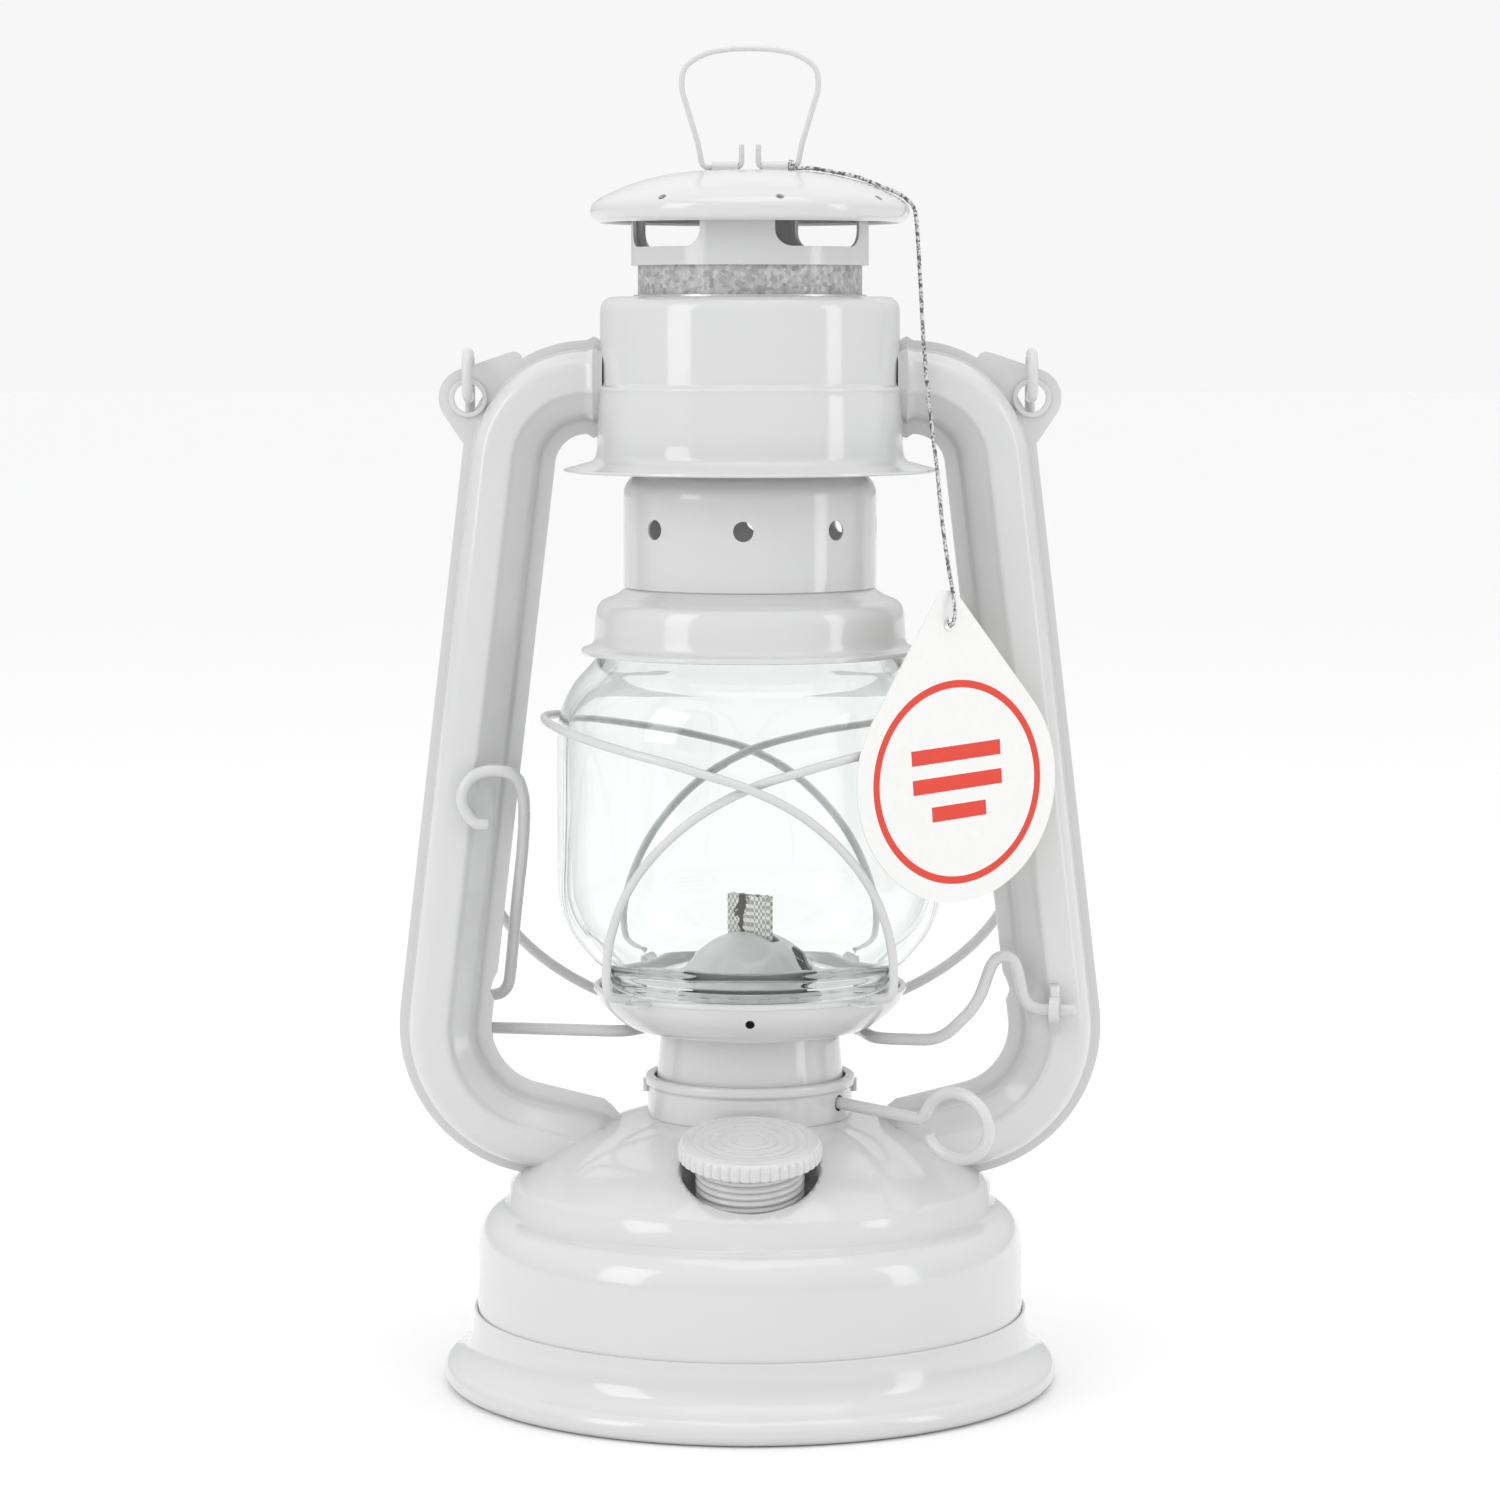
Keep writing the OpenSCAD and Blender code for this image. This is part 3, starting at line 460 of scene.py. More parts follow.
enamel = new_finish(
    "gloss_white_enamel", paint_skin,
    {"Colour": (0.655, 0.655, 0.65, 1), "Shade": (0.615, 0.62, 0.62, 1),
     "Gloss low": 0.10, "Gloss high": 0.19, "Peel per metre": 620.0},
    (0.10, 0.00008), Coat_Weight=0.5, Coat_Roughness=0.04)
wire_paint = new_finish(
    "dipped_white_wire", paint_skin,
    {"Colour": (0.645, 0.645, 0.64, 1), "Shade": (0.60, 0.605, 0.605, 1),
     "Gloss low": 0.15, "Gloss high": 0.28, "Peel per metre": 900.0},
    (0.15, 0.00008), Coat_Weight=0.3, Coat_Roughness=0.08)
galvanised = new_finish(
    "mottled_galvanised", metal_bloom,
    {"Light": (0.86, 0.86, 0.85, 1), "Dark": (0.07, 0.072, 0.075, 1),
     "Crystals per metre": 1100.0, "Rough low": 0.45, "Rough high": 0.7},
    (0.35, 0.00015), Metallic=0.35)
tinned = new_finish(
    "tinned_burner_steel", metal_bloom,
    {"Light": (0.80, 0.80, 0.78, 1), "Dark": (0.62, 0.62, 0.60, 1),
     "Crystals per metre": 120.0, "Rough low": 0.22, "Rough high": 0.4},
    (0.06, 0.00005), Metallic=0.9)
brass = new_finish(
    "stamped_brass", metal_bloom,
    {"Light": (0.78, 0.58, 0.26, 1), "Dark": (0.55, 0.38, 0.15, 1),
     "Crystals per metre": 160.0, "Rough low": 0.25, "Rough high": 0.45},
    (0.06, 0.00005), Metallic=1.0)
bright_metal = new_finish(
    "bright_eyelet_metal", metal_bloom,
    {"Light": (0.86, 0.86, 0.85, 1), "Dark": (0.70, 0.70, 0.70, 1),
     "Crystals per metre": 500.0, "Rough low": 0.16, "Rough high": 0.3},
    (0.04, 0.00004), Metallic=1.0)
rubber = new_finish(
    "black_gasket_rubber", paint_skin,
    {"Colour": (0.02, 0.02, 0.02, 1), "Shade": (0.035, 0.035, 0.033, 1),
     "Gloss low": 0.55, "Gloss high": 0.75, "Peel per metre": 1800.0}, (0.3, 0.00008))

# %% Clear blown glass, which lets the light of the lamps through to what stands inside it
glass, tree, shader = new_material("clear_globe_glass")
shader.inputs["Base Color"].default_value = (0.975, 0.99, 0.985, 1)
shader.inputs["Transmission Weight"].default_value = 1.0
shader.inputs["IOR"].default_value = 1.47
where = add(tree, "ShaderNodeTexCoord")
film = add(tree, "ShaderNodeTexNoise", Scale=40.0, Detail=3.0)
haze = add(tree, "ShaderNodeMapRange", From_Min=0.3, From_Max=0.9, To_Min=0.0, To_Max=0.035)
waves = add(tree, "ShaderNodeTexNoise", Scale=22.0, Detail=1.0)
relief = add(tree, "ShaderNodeBump", Strength=0.12, Distance=0.0006)
ray = add(tree, "ShaderNodeLightPath")
clear = add(tree, "ShaderNodeBsdfTransparent", Color=(0.95, 0.96, 0.955, 1))
either = add(tree, "ShaderNodeMixShader")
for noise in (film, waves):
    link(tree, (where.outputs["Object"], noise.inputs["Vector"]))
link(tree,
     (film.outputs["Fac"], haze.inputs["Value"]),
     (haze.outputs["Result"], shader.inputs["Roughness"]),
     (waves.outputs["Fac"], relief.inputs["Height"]),
     (relief.outputs["Normal"], shader.inputs["Normal"]),
     (ray.outputs["Is Shadow Ray"], either.inputs["Fac"]),
     (shader.outputs["BSDF"], either.inputs[1]),
     (clear.outputs["BSDF"], either.inputs[2]),
     (either.outputs["Shader"], tree.nodes["Material Output"].inputs["Surface"]))
print("finishes:", len(bpy.data.materials))

# %% [markdown]
# ## The tag's string
#
# A thin silver cord is looped round the lifting ring. It runs forward over the vent cap's
# rim, hangs down past the right side tube and ends in the eyelet of a paper tag. It is two
# threads, a dark and a bright one, twisted together, which shows as slanting specks. The
# twist is a real shape: the radius rises and falls twice round the cord, and turns along it.

# %% Lay the string along its route
STRING_R = 0.45
string_route = np.array([
    [8.9, -1.8, 263], [10.8, -2.9, 263], [13.8, -3.2, 262.9], [18, -3.2, 262.2],
    [23, -3.4, 261.1], [28, -3.9, 259.1], [32.2, -4.4, 257.3], [34.7, -5, 255],
    [35.4, -5.6, 252.5], [35.9, -7, 246], [36.4, -9.2, 236], [37, -10.6, 225],
    [38, -11.3, 214], [39.2, -12.2, 204], [39.9, -13.8, 198], [40.6, -18.6, 189],
    [41.7, -25.4, 179.5], [42.6, -29.4, 173.6], [42.9, -30.4, 170.2], [42.85, -30.3, 168.6],
    [42.62, -29.95, 167.5], [42.25, -29.35, 167.02], [41.85, -28.75, 167]])
string_path = smooth_path(string_route, step=0.22)


def twisted_mesh(name, path, radius, strands=2, pitch=1.9, sides=14):
    """The radius at angle t and distance s is R (1 - 0.2 (1 - |cos(k t/2 - k pi s/pitch)|))."""
    direction, normal, side = path_frames(path)
    s = np.concatenate([[0], np.cumsum(np.linalg.norm(np.diff(path, axis=0), axis=1))])[:, None]
    t = np.linspace(0, 2 * np.pi, sides, endpoint=False)[None]
    phase = strands / 2 * t - np.pi * strands / 2 * s / pitch
    r = radius * (1 - 0.2 * (1 - np.abs(np.cos(phase))))
    ring = np.cos(t)[..., None] * normal[:, None] + np.sin(t)[..., None] * side[:, None]
    return grid_mesh(name, path[:, None] + r[..., None] * ring)


string_paint, tree, shader = new_material("silver_twisted_string")
shader.inputs["Metallic"].default_value = 0.35
where = add(tree, "ShaderNodeTexCoord")
fleck = add(tree, "ShaderNodeTexNoise", Scale=1500.0, Detail=2.0)
ramp = two_tone(tree, (0.42, (0.12, 0.12, 0.13, 1)), (0.56, (0.66, 0.66, 0.68, 1)))
rough = add(tree, "ShaderNodeMapRange", To_Min=0.35, To_Max=0.7)
link(tree,
     (where.outputs["Object"], fleck.inputs["Vector"]),
     (fleck.outputs["Fac"], ramp.inputs["Fac"]),
     (fleck.outputs["Fac"], rough.inputs["Value"]),
     (ramp.outputs["Color"], shader.inputs["Base Color"]),
     (rough.outputs["Result"], shader.inputs["Roughness"]))
tag_string = finish_piece(
    new_object("tag_string_twist", twisted_mesh("tag_string", string_path, STRING_R)),
    ["tag_string"], string_paint, crease=80)

# %% [markdown]
# ## The knot round the ring
#
# The cord is wound round the ring's wire and pulled tight, so a few turns lie side by side.

# %% Wind the knot
knot_low, knot_high = box_mm("string_knot")
knot_mid = (knot_low + knot_high) / 2
KNOT_TURNS, KNOT_POINTS, KNOT_CORD_R = 1.6, 120, 0.36
turn = np.linspace(0, 2 * np.pi * KNOT_TURNS, KNOT_POINTS)
coil_r = 1.15
RING_R = 0.6
RING_Z = box_mm("lifting_ring")[0][2] + RING_R
knot_path = np.stack([knot_mid[0] + np.linspace(-0.42, 0.42, KNOT_POINTS),
                      coil_r * np.cos(turn + 0.4), RING_Z + 0.12 + coil_r * np.sin(turn + 0.4)], 1)
knot_path[:, 2] = np.maximum(knot_path[:, 2], knot_low[2] + KNOT_CORD_R)
string_knot = finish_piece(new_object("string_knot_turns", twisted_mesh("knot", knot_path, KNOT_CORD_R)),
                           ["string_knot"], string_paint, crease=80)

# %% [markdown]
# ## The tag
#
# The tag is white card cut to a drop: a large circle and a small one joined by their
# tangents. Its outline is worked out as the support curve of the two circles, and the card
# is a ring of quads between the eyelet's hole and that outline. The print is a plain red
# border line with a few plain bars, drawn by its material from the card's own coordinates.

# %% Cut the card
TAG_TURN, TAG_ROLL = math.radians(33), math.radians(4)
HOLE_R, BIG_R, SMALL_R, BIG_Y, SMALL_Y = 1.4, 25.6, 3.6, -33.4, 3.6
eye_low, eye_high = box_mm("tag_eyelet")
eye = (eye_low + eye_high) / 2
level_x = np.array([math.cos(TAG_TURN), math.sin(TAG_TURN), 0])
card_x = level_x * math.cos(TAG_ROLL) + np.array([0, 0, math.sin(TAG_ROLL)])
card_y = np.array([0, 0, math.cos(TAG_ROLL)]) - level_x * math.sin(TAG_ROLL)
card_out = np.array([math.sin(TAG_TURN), -math.cos(TAG_TURN), 0])
CARD = 0.5


def drop_outline(angles, trim=0.0):
    """The farthest of the two circles' edges from the hole, along each direction: for a ray
    at angle a the distance is the largest t with the point inside the circles' hull."""
    tilt = math.asin((BIG_R - SMALL_R) / (SMALL_Y - BIG_Y))
    ray = np.stack([np.cos(angles), np.sin(angles)], 1)
    reach = []
    for y, r in ((BIG_Y, BIG_R - trim), (SMALL_Y, SMALL_R - trim)):
        b = -ray[:, 1] * y
        root = b * b - (y * y - r * r)
        reach.append(np.where(root > 0, -b + np.sqrt(np.maximum(root, 0)), 0))
    side_n = np.array([math.cos(tilt), math.sin(tilt)])
    line = []
    for s in (-1, 1):
        n = side_n * [s, 1]
        level = BIG_Y * n[1] + BIG_R - trim
        d = ray @ n
        line.append(np.where(d > 1e-6, level / np.maximum(d, 1e-6), 1e9))
    straight = np.minimum(*line)
    touch = ray * straight[:, None]
    low_touch = BIG_Y + (BIG_R - trim) * math.sin(tilt)
    high_touch = SMALL_Y + (SMALL_R - trim) * math.sin(tilt)
    on_line = (touch[:, 1] > low_touch) & (touch[:, 1] < high_touch) & (straight < 1e8)
    return np.where(on_line, straight, np.maximum(*reach))


angle = np.linspace(0, 2 * np.pi, 240, endpoint=False) + math.pi / 2
edge = drop_outline(angle)
share = np.linspace(0, 1, 26)[:, None]
spread = HOLE_R + share * (edge[None] - HOLE_R)
flat_x, flat_y = spread * np.cos(angle), spread * np.sin(angle)
half = CARD / 2 - 0.02
front = np.stack([flat_x, flat_y, np.full_like(flat_x, half)], -1)
back = np.stack([flat_x, flat_y, np.full_like(flat_x, -half)], -1)[::-1]
card_grid = np.concatenate([front, back])
card_points = (eye + card_grid[..., :1] * card_x + card_grid[..., 1:2] * card_y
               + card_grid[..., 2:] * card_out)
tag_mesh = grid_mesh("tag_card", card_points, wrap_u=True)
print("tag outline from", edge.min().round(2), "to", edge.max().round(2), "mm from its hole")

# %% Print the card with plain generic marks
tag_paint, tree, shader = new_material("printed_tag_card")
where = add(tree, "ShaderNodeTexCoord")
to_card = add(tree, "ShaderNodeMapping", vector_type="TEXTURE")
disc_centre = eye + card_y * BIG_Y
to_card.inputs["Location"].default_value = [float(v) * MM for v in disc_centre]
to_card.inputs["Rotation"].default_value = (0, -TAG_ROLL, TAG_TURN)
split = add(tree, "ShaderNodeSeparateXYZ")
link(tree,
     (where.outputs["Object"], to_card.inputs["Vector"]),
     (to_card.outputs["Vector"], split.inputs["Vector"]))


def math_node(kind, a, b=None):
    node = add(tree, "ShaderNodeMath", operation=kind)
    for socket, value in zip(node.inputs, (a, b)):
        if isinstance(value, (int, float)):
            socket.default_value = value
        elif value is not None:
            link(tree, (value, socket))
    return node.outputs[0]


def band(value, middle, half_width):
    """1 where the value is within half_width of the middle."""
    away = math_node("ABSOLUTE", math_node("SUBTRACT", value, middle))
    return math_node("LESS_THAN", away, half_width)


across, up = split.outputs["X"], split.outputs["Z"]
PRINT_RING_R, PRINT_RING_HALF, BAR_HALF = 0.0208, 0.0008, 0.0016
squares = [math_node("MULTIPLY", way, way) for way in (across, up)]
radius = math_node("SQRT", math_node("ADD", *squares))
marks = band(radius, PRINT_RING_R, PRINT_RING_HALF)
for height, length in ((0.0062, 0.0115), (0.0, 0.0115), (-0.0062, 0.007)):
    bar = math_node("MULTIPLY", band(up, height, BAR_HALF), band(across, 0.0, length))
    marks = math_node("MAXIMUM", marks, bar)
fibre = add(tree, "ShaderNodeTexNoise", Scale=900.0, Detail=4.0)
card_tone = add(tree, "ShaderNodeMix", data_type="RGBA",
                A=(0.86, 0.86, 0.85, 1), B=(0.81, 0.81, 0.80, 1))
inked = add(tree, "ShaderNodeMix", data_type="RGBA", B=(0.72, 0.045, 0.02, 1))
rough = add(tree, "ShaderNodeMapRange", To_Min=0.35, To_Max=0.6)
relief = add(tree, "ShaderNodeBump", Strength=0.08, Distance=0.00008)
link(tree,
     (where.outputs["Object"], fibre.inputs["Vector"]),
     (fibre.outputs["Fac"], card_tone.inputs["Factor"]),
     (marks, inked.inputs["Factor"]),
     (card_tone.outputs["Result"], inked.inputs["A"]),
     (fibre.outputs["Fac"], rough.inputs["Value"]),
     (fibre.outputs["Fac"], relief.inputs["Height"]),
     (inked.outputs["Result"], shader.inputs["Base Color"]),
     (rough.outputs["Result"], shader.inputs["Roughness"]),
     (relief.outputs["Normal"], shader.inputs["Normal"]))
finish_piece(new_object("tag_printed", tag_mesh), ["tag"], tag_paint, crease=45)

# %% Press the eyelet into the tag's hole
eyelet_line = np.array([[0.8, -0.6], [1.15, -0.6], [1.32, -0.5], [1.38, -0.3], [1.38, 0.3],
                        [1.32, 0.5], [1.15, 0.6], [0.8, 0.6]])
a = np.linspace(0, 2 * np.pi, 40, endpoint=False)
r, h = eyelet_line[:, :1, None], eyelet_line[:, 1:, None]
spokes = np.cos(a)[None, :, None] * card_x + np.sin(a)[None, :, None] * card_y
eyelet_mesh = grid_mesh("eyelet", eye + r * spokes + h * 0.95 * card_out, wrap_u=True)
tag_eyelet = finish_piece(new_object("tag_eyelet_ring", eyelet_mesh), ["tag_eyelet"], bright_metal)

# %% [markdown]
# ## The foot ring
#
# The tank stands on a separate ring whose lower edge is rolled into a hollow bead. The ring
# flares out from the tank's wall in an even curve, so light runs round it in one broad band.

# %% Turn the foot ring
FOOT_R = box_mm("foot_ring")[1][0]
TANK_R = 59.5
BEAD = 3.0
roll = np.radians(np.arange(74, -200, -8))
bead_line = np.stack([FOOT_R - BEAD + BEAD * np.cos(roll), 2.9 + 2.9 * np.sin(roll)], 1)
flare = rounded_line([[TANK_R + 0.75, 16, 0], [TANK_R + 0.75, 13.6, 2], [TANK_R + 1.6, 8.2, 5],
                      [bead_line[0, 0], bead_line[0, 1], 0]], 14)
foot_line = np.vstack([flare, bead_line[1:]])
finish_piece(new_object("foot_ring_rolled", turned("foot_ring", wall(foot_line, -0.65), 256)),
             ["foot_ring"], enamel)

# %% [markdown]
# ## The globe
#
# The globe is blown glass of even thickness with a heavy ground edge at the bottom. Its wall
# must have both an inner and an outer face, or light would bend wrongly through it.

# %% Turn the glass
glass_low, glass_high = box_mm("globe")
GLOBE_R, Z0, Z1 = glass_high[0], glass_low[2], glass_high[2]
outer = smooth_path([[30, Z0 + 0.5], [30.6, 89.6], [34.6, 93.2], [GLOBE_R - 2.9, 98.6],
                     [GLOBE_R - 0.6, 104.5], [GLOBE_R, 111], [GLOBE_R, 125], [GLOBE_R, 139],
                     [GLOBE_R - 0.7, 146], [GLOBE_R - 3.3, 152], [34.6, 156.4], [32.2, 159.6],
                     [31.6, 163], [31.6, Z1 - 0.6]], 0.8)
outer[:, 0] = np.minimum(outer[:, 0], GLOBE_R)
inner = offset_line(outer, 2.1)
foot_edge = np.array([[27.9, Z0 + 0.5], [28.2, Z0 + 0.1], [29, Z0], [29.7, Z0 + 0.1]])
top_edge = np.array([[31.3, Z1 - 0.1], [30.6, Z1], [29.8, Z1 - 0.1]])
globe_line = np.vstack([foot_edge, outer, top_edge, inner[::-1]])
finish_piece(new_object("globe_glass", turned("globe", globe_line, 224)), ["globe"], glass, crease=60)

# %% [markdown]
# ## The side tubes
#
# Each tube is two pressed halves, folded together along a flat seam. A half has a broad
# outer facet and a narrower inner one that meet in a crease, so a bright and a dark band run
# beside each other all the way round. The half's outline is carried along the tube's centre
# line: foot leg, low bend, long leg, top bend and arm.

# %% The centre line, from the tank up to the chamber
LEG_SLOPE, LEG_X, LEG_Z, ARM_Z = 0.1177, 53.55, 187.7, 216.3
FOOT_ANGLE, FOOT_LINE = math.radians(14), 41.85
LOW_BEND, TOP_BEND, TUBE_HALF = 23.0, 17.0, 10.0
corner_z = ((FOOT_LINE / math.cos(FOOT_ANGLE) + math.tan(FOOT_ANGLE) * (LEG_X + LEG_Z * LEG_SLOPE))
            / (1 + math.tan(FOOT_ANGLE) * LEG_SLOPE))
low_corner = np.array([LEG_X + (LEG_Z - corner_z) * LEG_SLOPE, corner_z])
top_corner = np.array([LEG_X + (LEG_Z - ARM_Z) * LEG_SLOPE, ARM_Z])
foot_dir = np.array([math.cos(FOOT_ANGLE), math.sin(FOOT_ANGLE)])
leg_dir = (top_corner - low_corner) / np.linalg.norm(top_corner - low_corner)
arm_dir = np.array([-1.0, 0.0])


def bend_arc(corner, d_in, d_out, radius):
    """Points of the arc of that radius that touches both directions, with its tangents."""
    turn = math.acos(float(d_in @ d_out))
    start = corner - d_in * radius * math.tan(turn / 2)
    left = np.array([-d_in[1], d_in[0]])
    a = np.linspace(0, turn, 40)[:, None]
    return start + radius * (np.sin(a) * d_in + (1 - np.cos(a)) * left)


low_arc = bend_arc(low_corner, foot_dir, leg_dir, LOW_BEND)
top_arc = bend_arc(top_corner, leg_dir, arm_dir, TOP_BEND)
straight = lambda a, b, n: a + (b - a) * np.linspace(0, 1, n)[:, None]
foot_start = low_corner - foot_dir * 41
centre_line = np.vstack([straight(foot_start, low_arc[0], 12)[:-1], low_arc[:-1],
                         straight(low_arc[-1], top_arc[0], 60)[:-1], top_arc[:-1],
                         straight(top_arc[-1], np.array([31.6, ARM_Z]), 6)])
print("tube centre line:", len(centre_line), "points,",
      round(float(np.linalg.norm(np.diff(centre_line, axis=0), axis=1).sum())), "mm")

# %% The outline of one half, and the four halves
FOLD = 0.6
NOTCH_Z, NOTCH_DEEP, LIP_X, DIP_RUN, HALF_WAY_Z = 87, 1.1, 33.6, 5, 150
half_line = rounded_line([
    [TUBE_HALF, FOLD, 0], [TUBE_HALF - 2.0, FOLD, 0.35], [TUBE_HALF - 2.25, 4.6, 2.2],
    [TUBE_HALF - 4.4, 8.3, 1.5], [-0.7, 8.78, 0.7], [-1.9, 7.5, 0.5], [-TUBE_HALF + 3.9, 4.3, 1.4],
    [-TUBE_HALF + 3.0, FOLD, 0.6], [-TUBE_HALF, FOLD, 0]], 6)
section = np.vstack([[[TUBE_HALF, 0.02], [TUBE_HALF + 0.05, FOLD / 2]], half_line,
                     [[-TUBE_HALF - 0.05, FOLD / 2], [-TUBE_HALF, 0.02]]])


def tube_half(side, depth):
    """Point (i, j) is centre_i + u_j outwards_i + v_j forwards. side and depth mirror it.

    The inner seam has a notch beside the lever, the arm swells to a lip at the chamber, and
    the leg's inner edge draws in over its last millimetres, at the tank."""
    along = np.gradient(centre_line, axis=0)
    along /= np.linalg.norm(along, axis=1, keepdims=True)
    outwards = np.stack([along[:, 1], -along[:, 0]], 1)
    u, v = section[:, 0][None], section[:, 1][None]
    height = centre_line[:, 1:]
    notch = np.clip(1.6 - np.abs(height - NOTCH_Z) / 1.6, 0, 1) * (u < -TUBE_HALF + 1.2)
    u = u + notch * NOTCH_DEEP
    upper = height > HALF_WAY_Z
    lip = np.exp(-((centre_line[:, :1] - LIP_X) / 0.9) ** 2) * upper
    u, v = u * (1 + 0.09 * lip), v * (1 + 0.10 * lip)
    run = np.linalg.norm(centre_line - centre_line[0], axis=1)[:, None]
    dip = np.clip((DIP_RUN - run) / DIP_RUN, 0, 1) * ~upper
    u = np.where(u < 0, u * (1 - 0.35 * dip), u)
    x = side * (centre_line[:, :1] + u * outwards[:, :1])
    z = centre_line[:, 1:] + u * outwards[:, 1:]
    y = np.broadcast_to(-depth * v, x.shape)
    return grid_mesh("tube_half", np.stack([x, y, z], -1))


def ear_mesh(side, depth):
    """A flat plate round the bail's hole: rings of points from the hole out to the hull."""
    a = np.linspace(0, 2 * np.pi, 96, endpoint=False)
    ray = np.stack([np.cos(a), np.sin(a)], 1)
    hole_r = 3.85
    circles = [((0, 0), 6.4), ((-9.8, 8.0), 2.0), ((-0.2, -8.2), 2.0)]
    probe = np.linspace(3, 16, 300)
    spots = ray[:, None] * probe[None, :, None]
    cloud = np.concatenate([np.array(c) + r * ray for c, r in circles])
    level = (cloud @ ray.T).max(0)
    inside = ((spots @ ray.T) <= level[None, None] + 1e-6).all(2)
    reach = probe[inside.sum(1) - 1]
    share = np.linspace(0, 1, 5)[:, None]
    spread = hole_r + share * (reach[None] - hole_r)
    flat = np.stack([spread * np.cos(a), spread * np.sin(a)], -1)
    depths = (0.06, FOLD - 0.1)
    faces = [np.concatenate([flat, np.full(flat.shape[:2] + (1,), d)], -1) for d in depths]
    ring = np.concatenate([faces[0], faces[1][::-1]])
    return grid_mesh("ear", np.stack([side * (EAR_X + ring[..., 0]), -depth * ring[..., 2],
                                      EAR_Z + ring[..., 1]], -1), wrap_u=True)


eyelet_low, eyelet_high = box_mm("bail_eyelets")
EAR_Z = (eyelet_low[2] + eyelet_high[2]) / 2
EAR_X = eyelet_high[0] - (eyelet_high[2] - eyelet_low[2]) / 2
for side, side_name in ((1, "right"), (-1, "left")):
    for depth, depth_name in ((1, "front"), (-1, "back")):
        shells = join_meshes("tube", [tube_half(side, depth), ear_mesh(side, depth)])
        finish_piece(new_object(f"{side_name}_{depth_name}_tube_pressing", shells),
                     [f"{side_name}_tube_{depth_name}"], enamel, crease=30)

# %% [markdown]
# ## The bail's eyelets
#
# Each ear has a small eyelet pressed through it before painting, so that the wire does not
# wear the sheet away.

# %% Turn both eyelets
ear_eyelet = rounded_line([[3.1, -1.3, 0], [3.15, -1.4, 0.1], [4.15, -1.35, 0.3], [4.15, -0.75, 0.2],
                           [3.85, -0.7, 0.1], [3.85, 0.7, 0.1], [4.15, 0.75, 0.2], [4.15, 1.35, 0.3],
                           [3.15, 1.4, 0.1], [3.1, 1.3, 0]], 4)
a = np.linspace(0, 2 * np.pi, 64, endpoint=False)
eyelets = []
for side in (1, -1):
    r, h = ear_eyelet[:, :1], ear_eyelet[:, 1:]
    ring = np.stack([side * EAR_X + r * np.cos(a), np.broadcast_to(h, (len(h), len(a))),
                     EAR_Z + r * np.sin(a)], -1)
    eyelets.append(grid_mesh("eyelet", ring, wrap_u=True))
finish_piece(new_object("bail_eyelet_pair", join_meshes("eyelets", eyelets)), ["bail_eyelets"], enamel)

# %% [markdown]
# ## The air chamber
#
# The chamber at the top gathers the hot gas. Its lower edge flares out like a bell, and a
# small bead marks the seam between its two pressings.

# %% Turn the chamber
CHAMBER_R = 33.0
chamber_line = rounded_line([
    [CHAMBER_R + 7.1, 198.8, 0], [CHAMBER_R + 3.2, 199.9, 2.5], [CHAMBER_R + 0.3, 200.6, 2],
    [CHAMBER_R, 203.6, 2], [CHAMBER_R, 215.2, 0.5], [CHAMBER_R + 0.45, 216.2, 0.6],
    [CHAMBER_R - 0.75, 217.0, 0.6], [CHAMBER_R - 0.8, 235.7, 3.4], [25.1, 235.7, 0]], 8)
finish_piece(new_object("air_chamber_pressing", turned("chamber", wall(chamber_line, 0.65), 224)),
             ["air_chamber"], enamel)

# %% [markdown]
# ## The hood, the chimney and the neck
#
# The hood sits on the globe's top edge and carries the chimney. Both lift together. Eight
# punched holes let the chimney draw air, and the neck above is left unpainted, because paint
# would burn there, so it shows the cloudy grey of galvanised sheet.

# %% Turn the hood
hood_low, hood_high = box_mm("hood")
HOOD_Z = hood_low[2]
CHIMNEY_R = 27.3
hood_line = rounded_line([
    [36.5, HOOD_Z, 0], [36.5, HOOD_Z + 0.9, 0.5], [34.2, HOOD_Z + 1.6, 0.9], [33.75, HOOD_Z + 3.2, 1],
    [33.4, HOOD_Z + 8.9, 1.4], [32.4, HOOD_Z + 11.2, 1.8], [29.0, HOOD_Z + 12.4, 1.6],
    [CHIMNEY_R + 0.1, HOOD_Z + 13.6, 1.1], [CHIMNEY_R - 0.6, HOOD_Z + 14.2, 0.4],
    [CHIMNEY_R - 0.66, hood_high[2] - 0.2, 0]], 8)
finish_piece(new_object("hood_pressing", turned("hood", wall(hood_line, 0.55), 224)), ["hood"], enamel)

# %% Turn the chimney and punch its holes
NECK_R = 24.1
chimney_low, chimney_high = box_mm("chimney")
chimney_line = rounded_line([
    [CHIMNEY_R, chimney_low[2] + 0.1, 0], [CHIMNEY_R, 195.2, 2.2], [NECK_R + 0.2, 198.6, 1.6],
    [NECK_R + 0.1, chimney_high[2] - 0.2, 0]], 8)
chimney = new_object("chimney_tube", turned("chimney", wall(chimney_line, 0.55), 224))
CHIMNEY_HOLE_Z, CHIMNEY_HOLE_R = 186.4, 2.15
drill(chimney, [rod(on_circle(20, s, CHIMNEY_HOLE_Z), on_circle(32, s, CHIMNEY_HOLE_Z), CHIMNEY_HOLE_R)
                for s in np.radians(np.arange(0, 360, 45) - 93)])
finish_piece(chimney, ["chimney"], enamel)

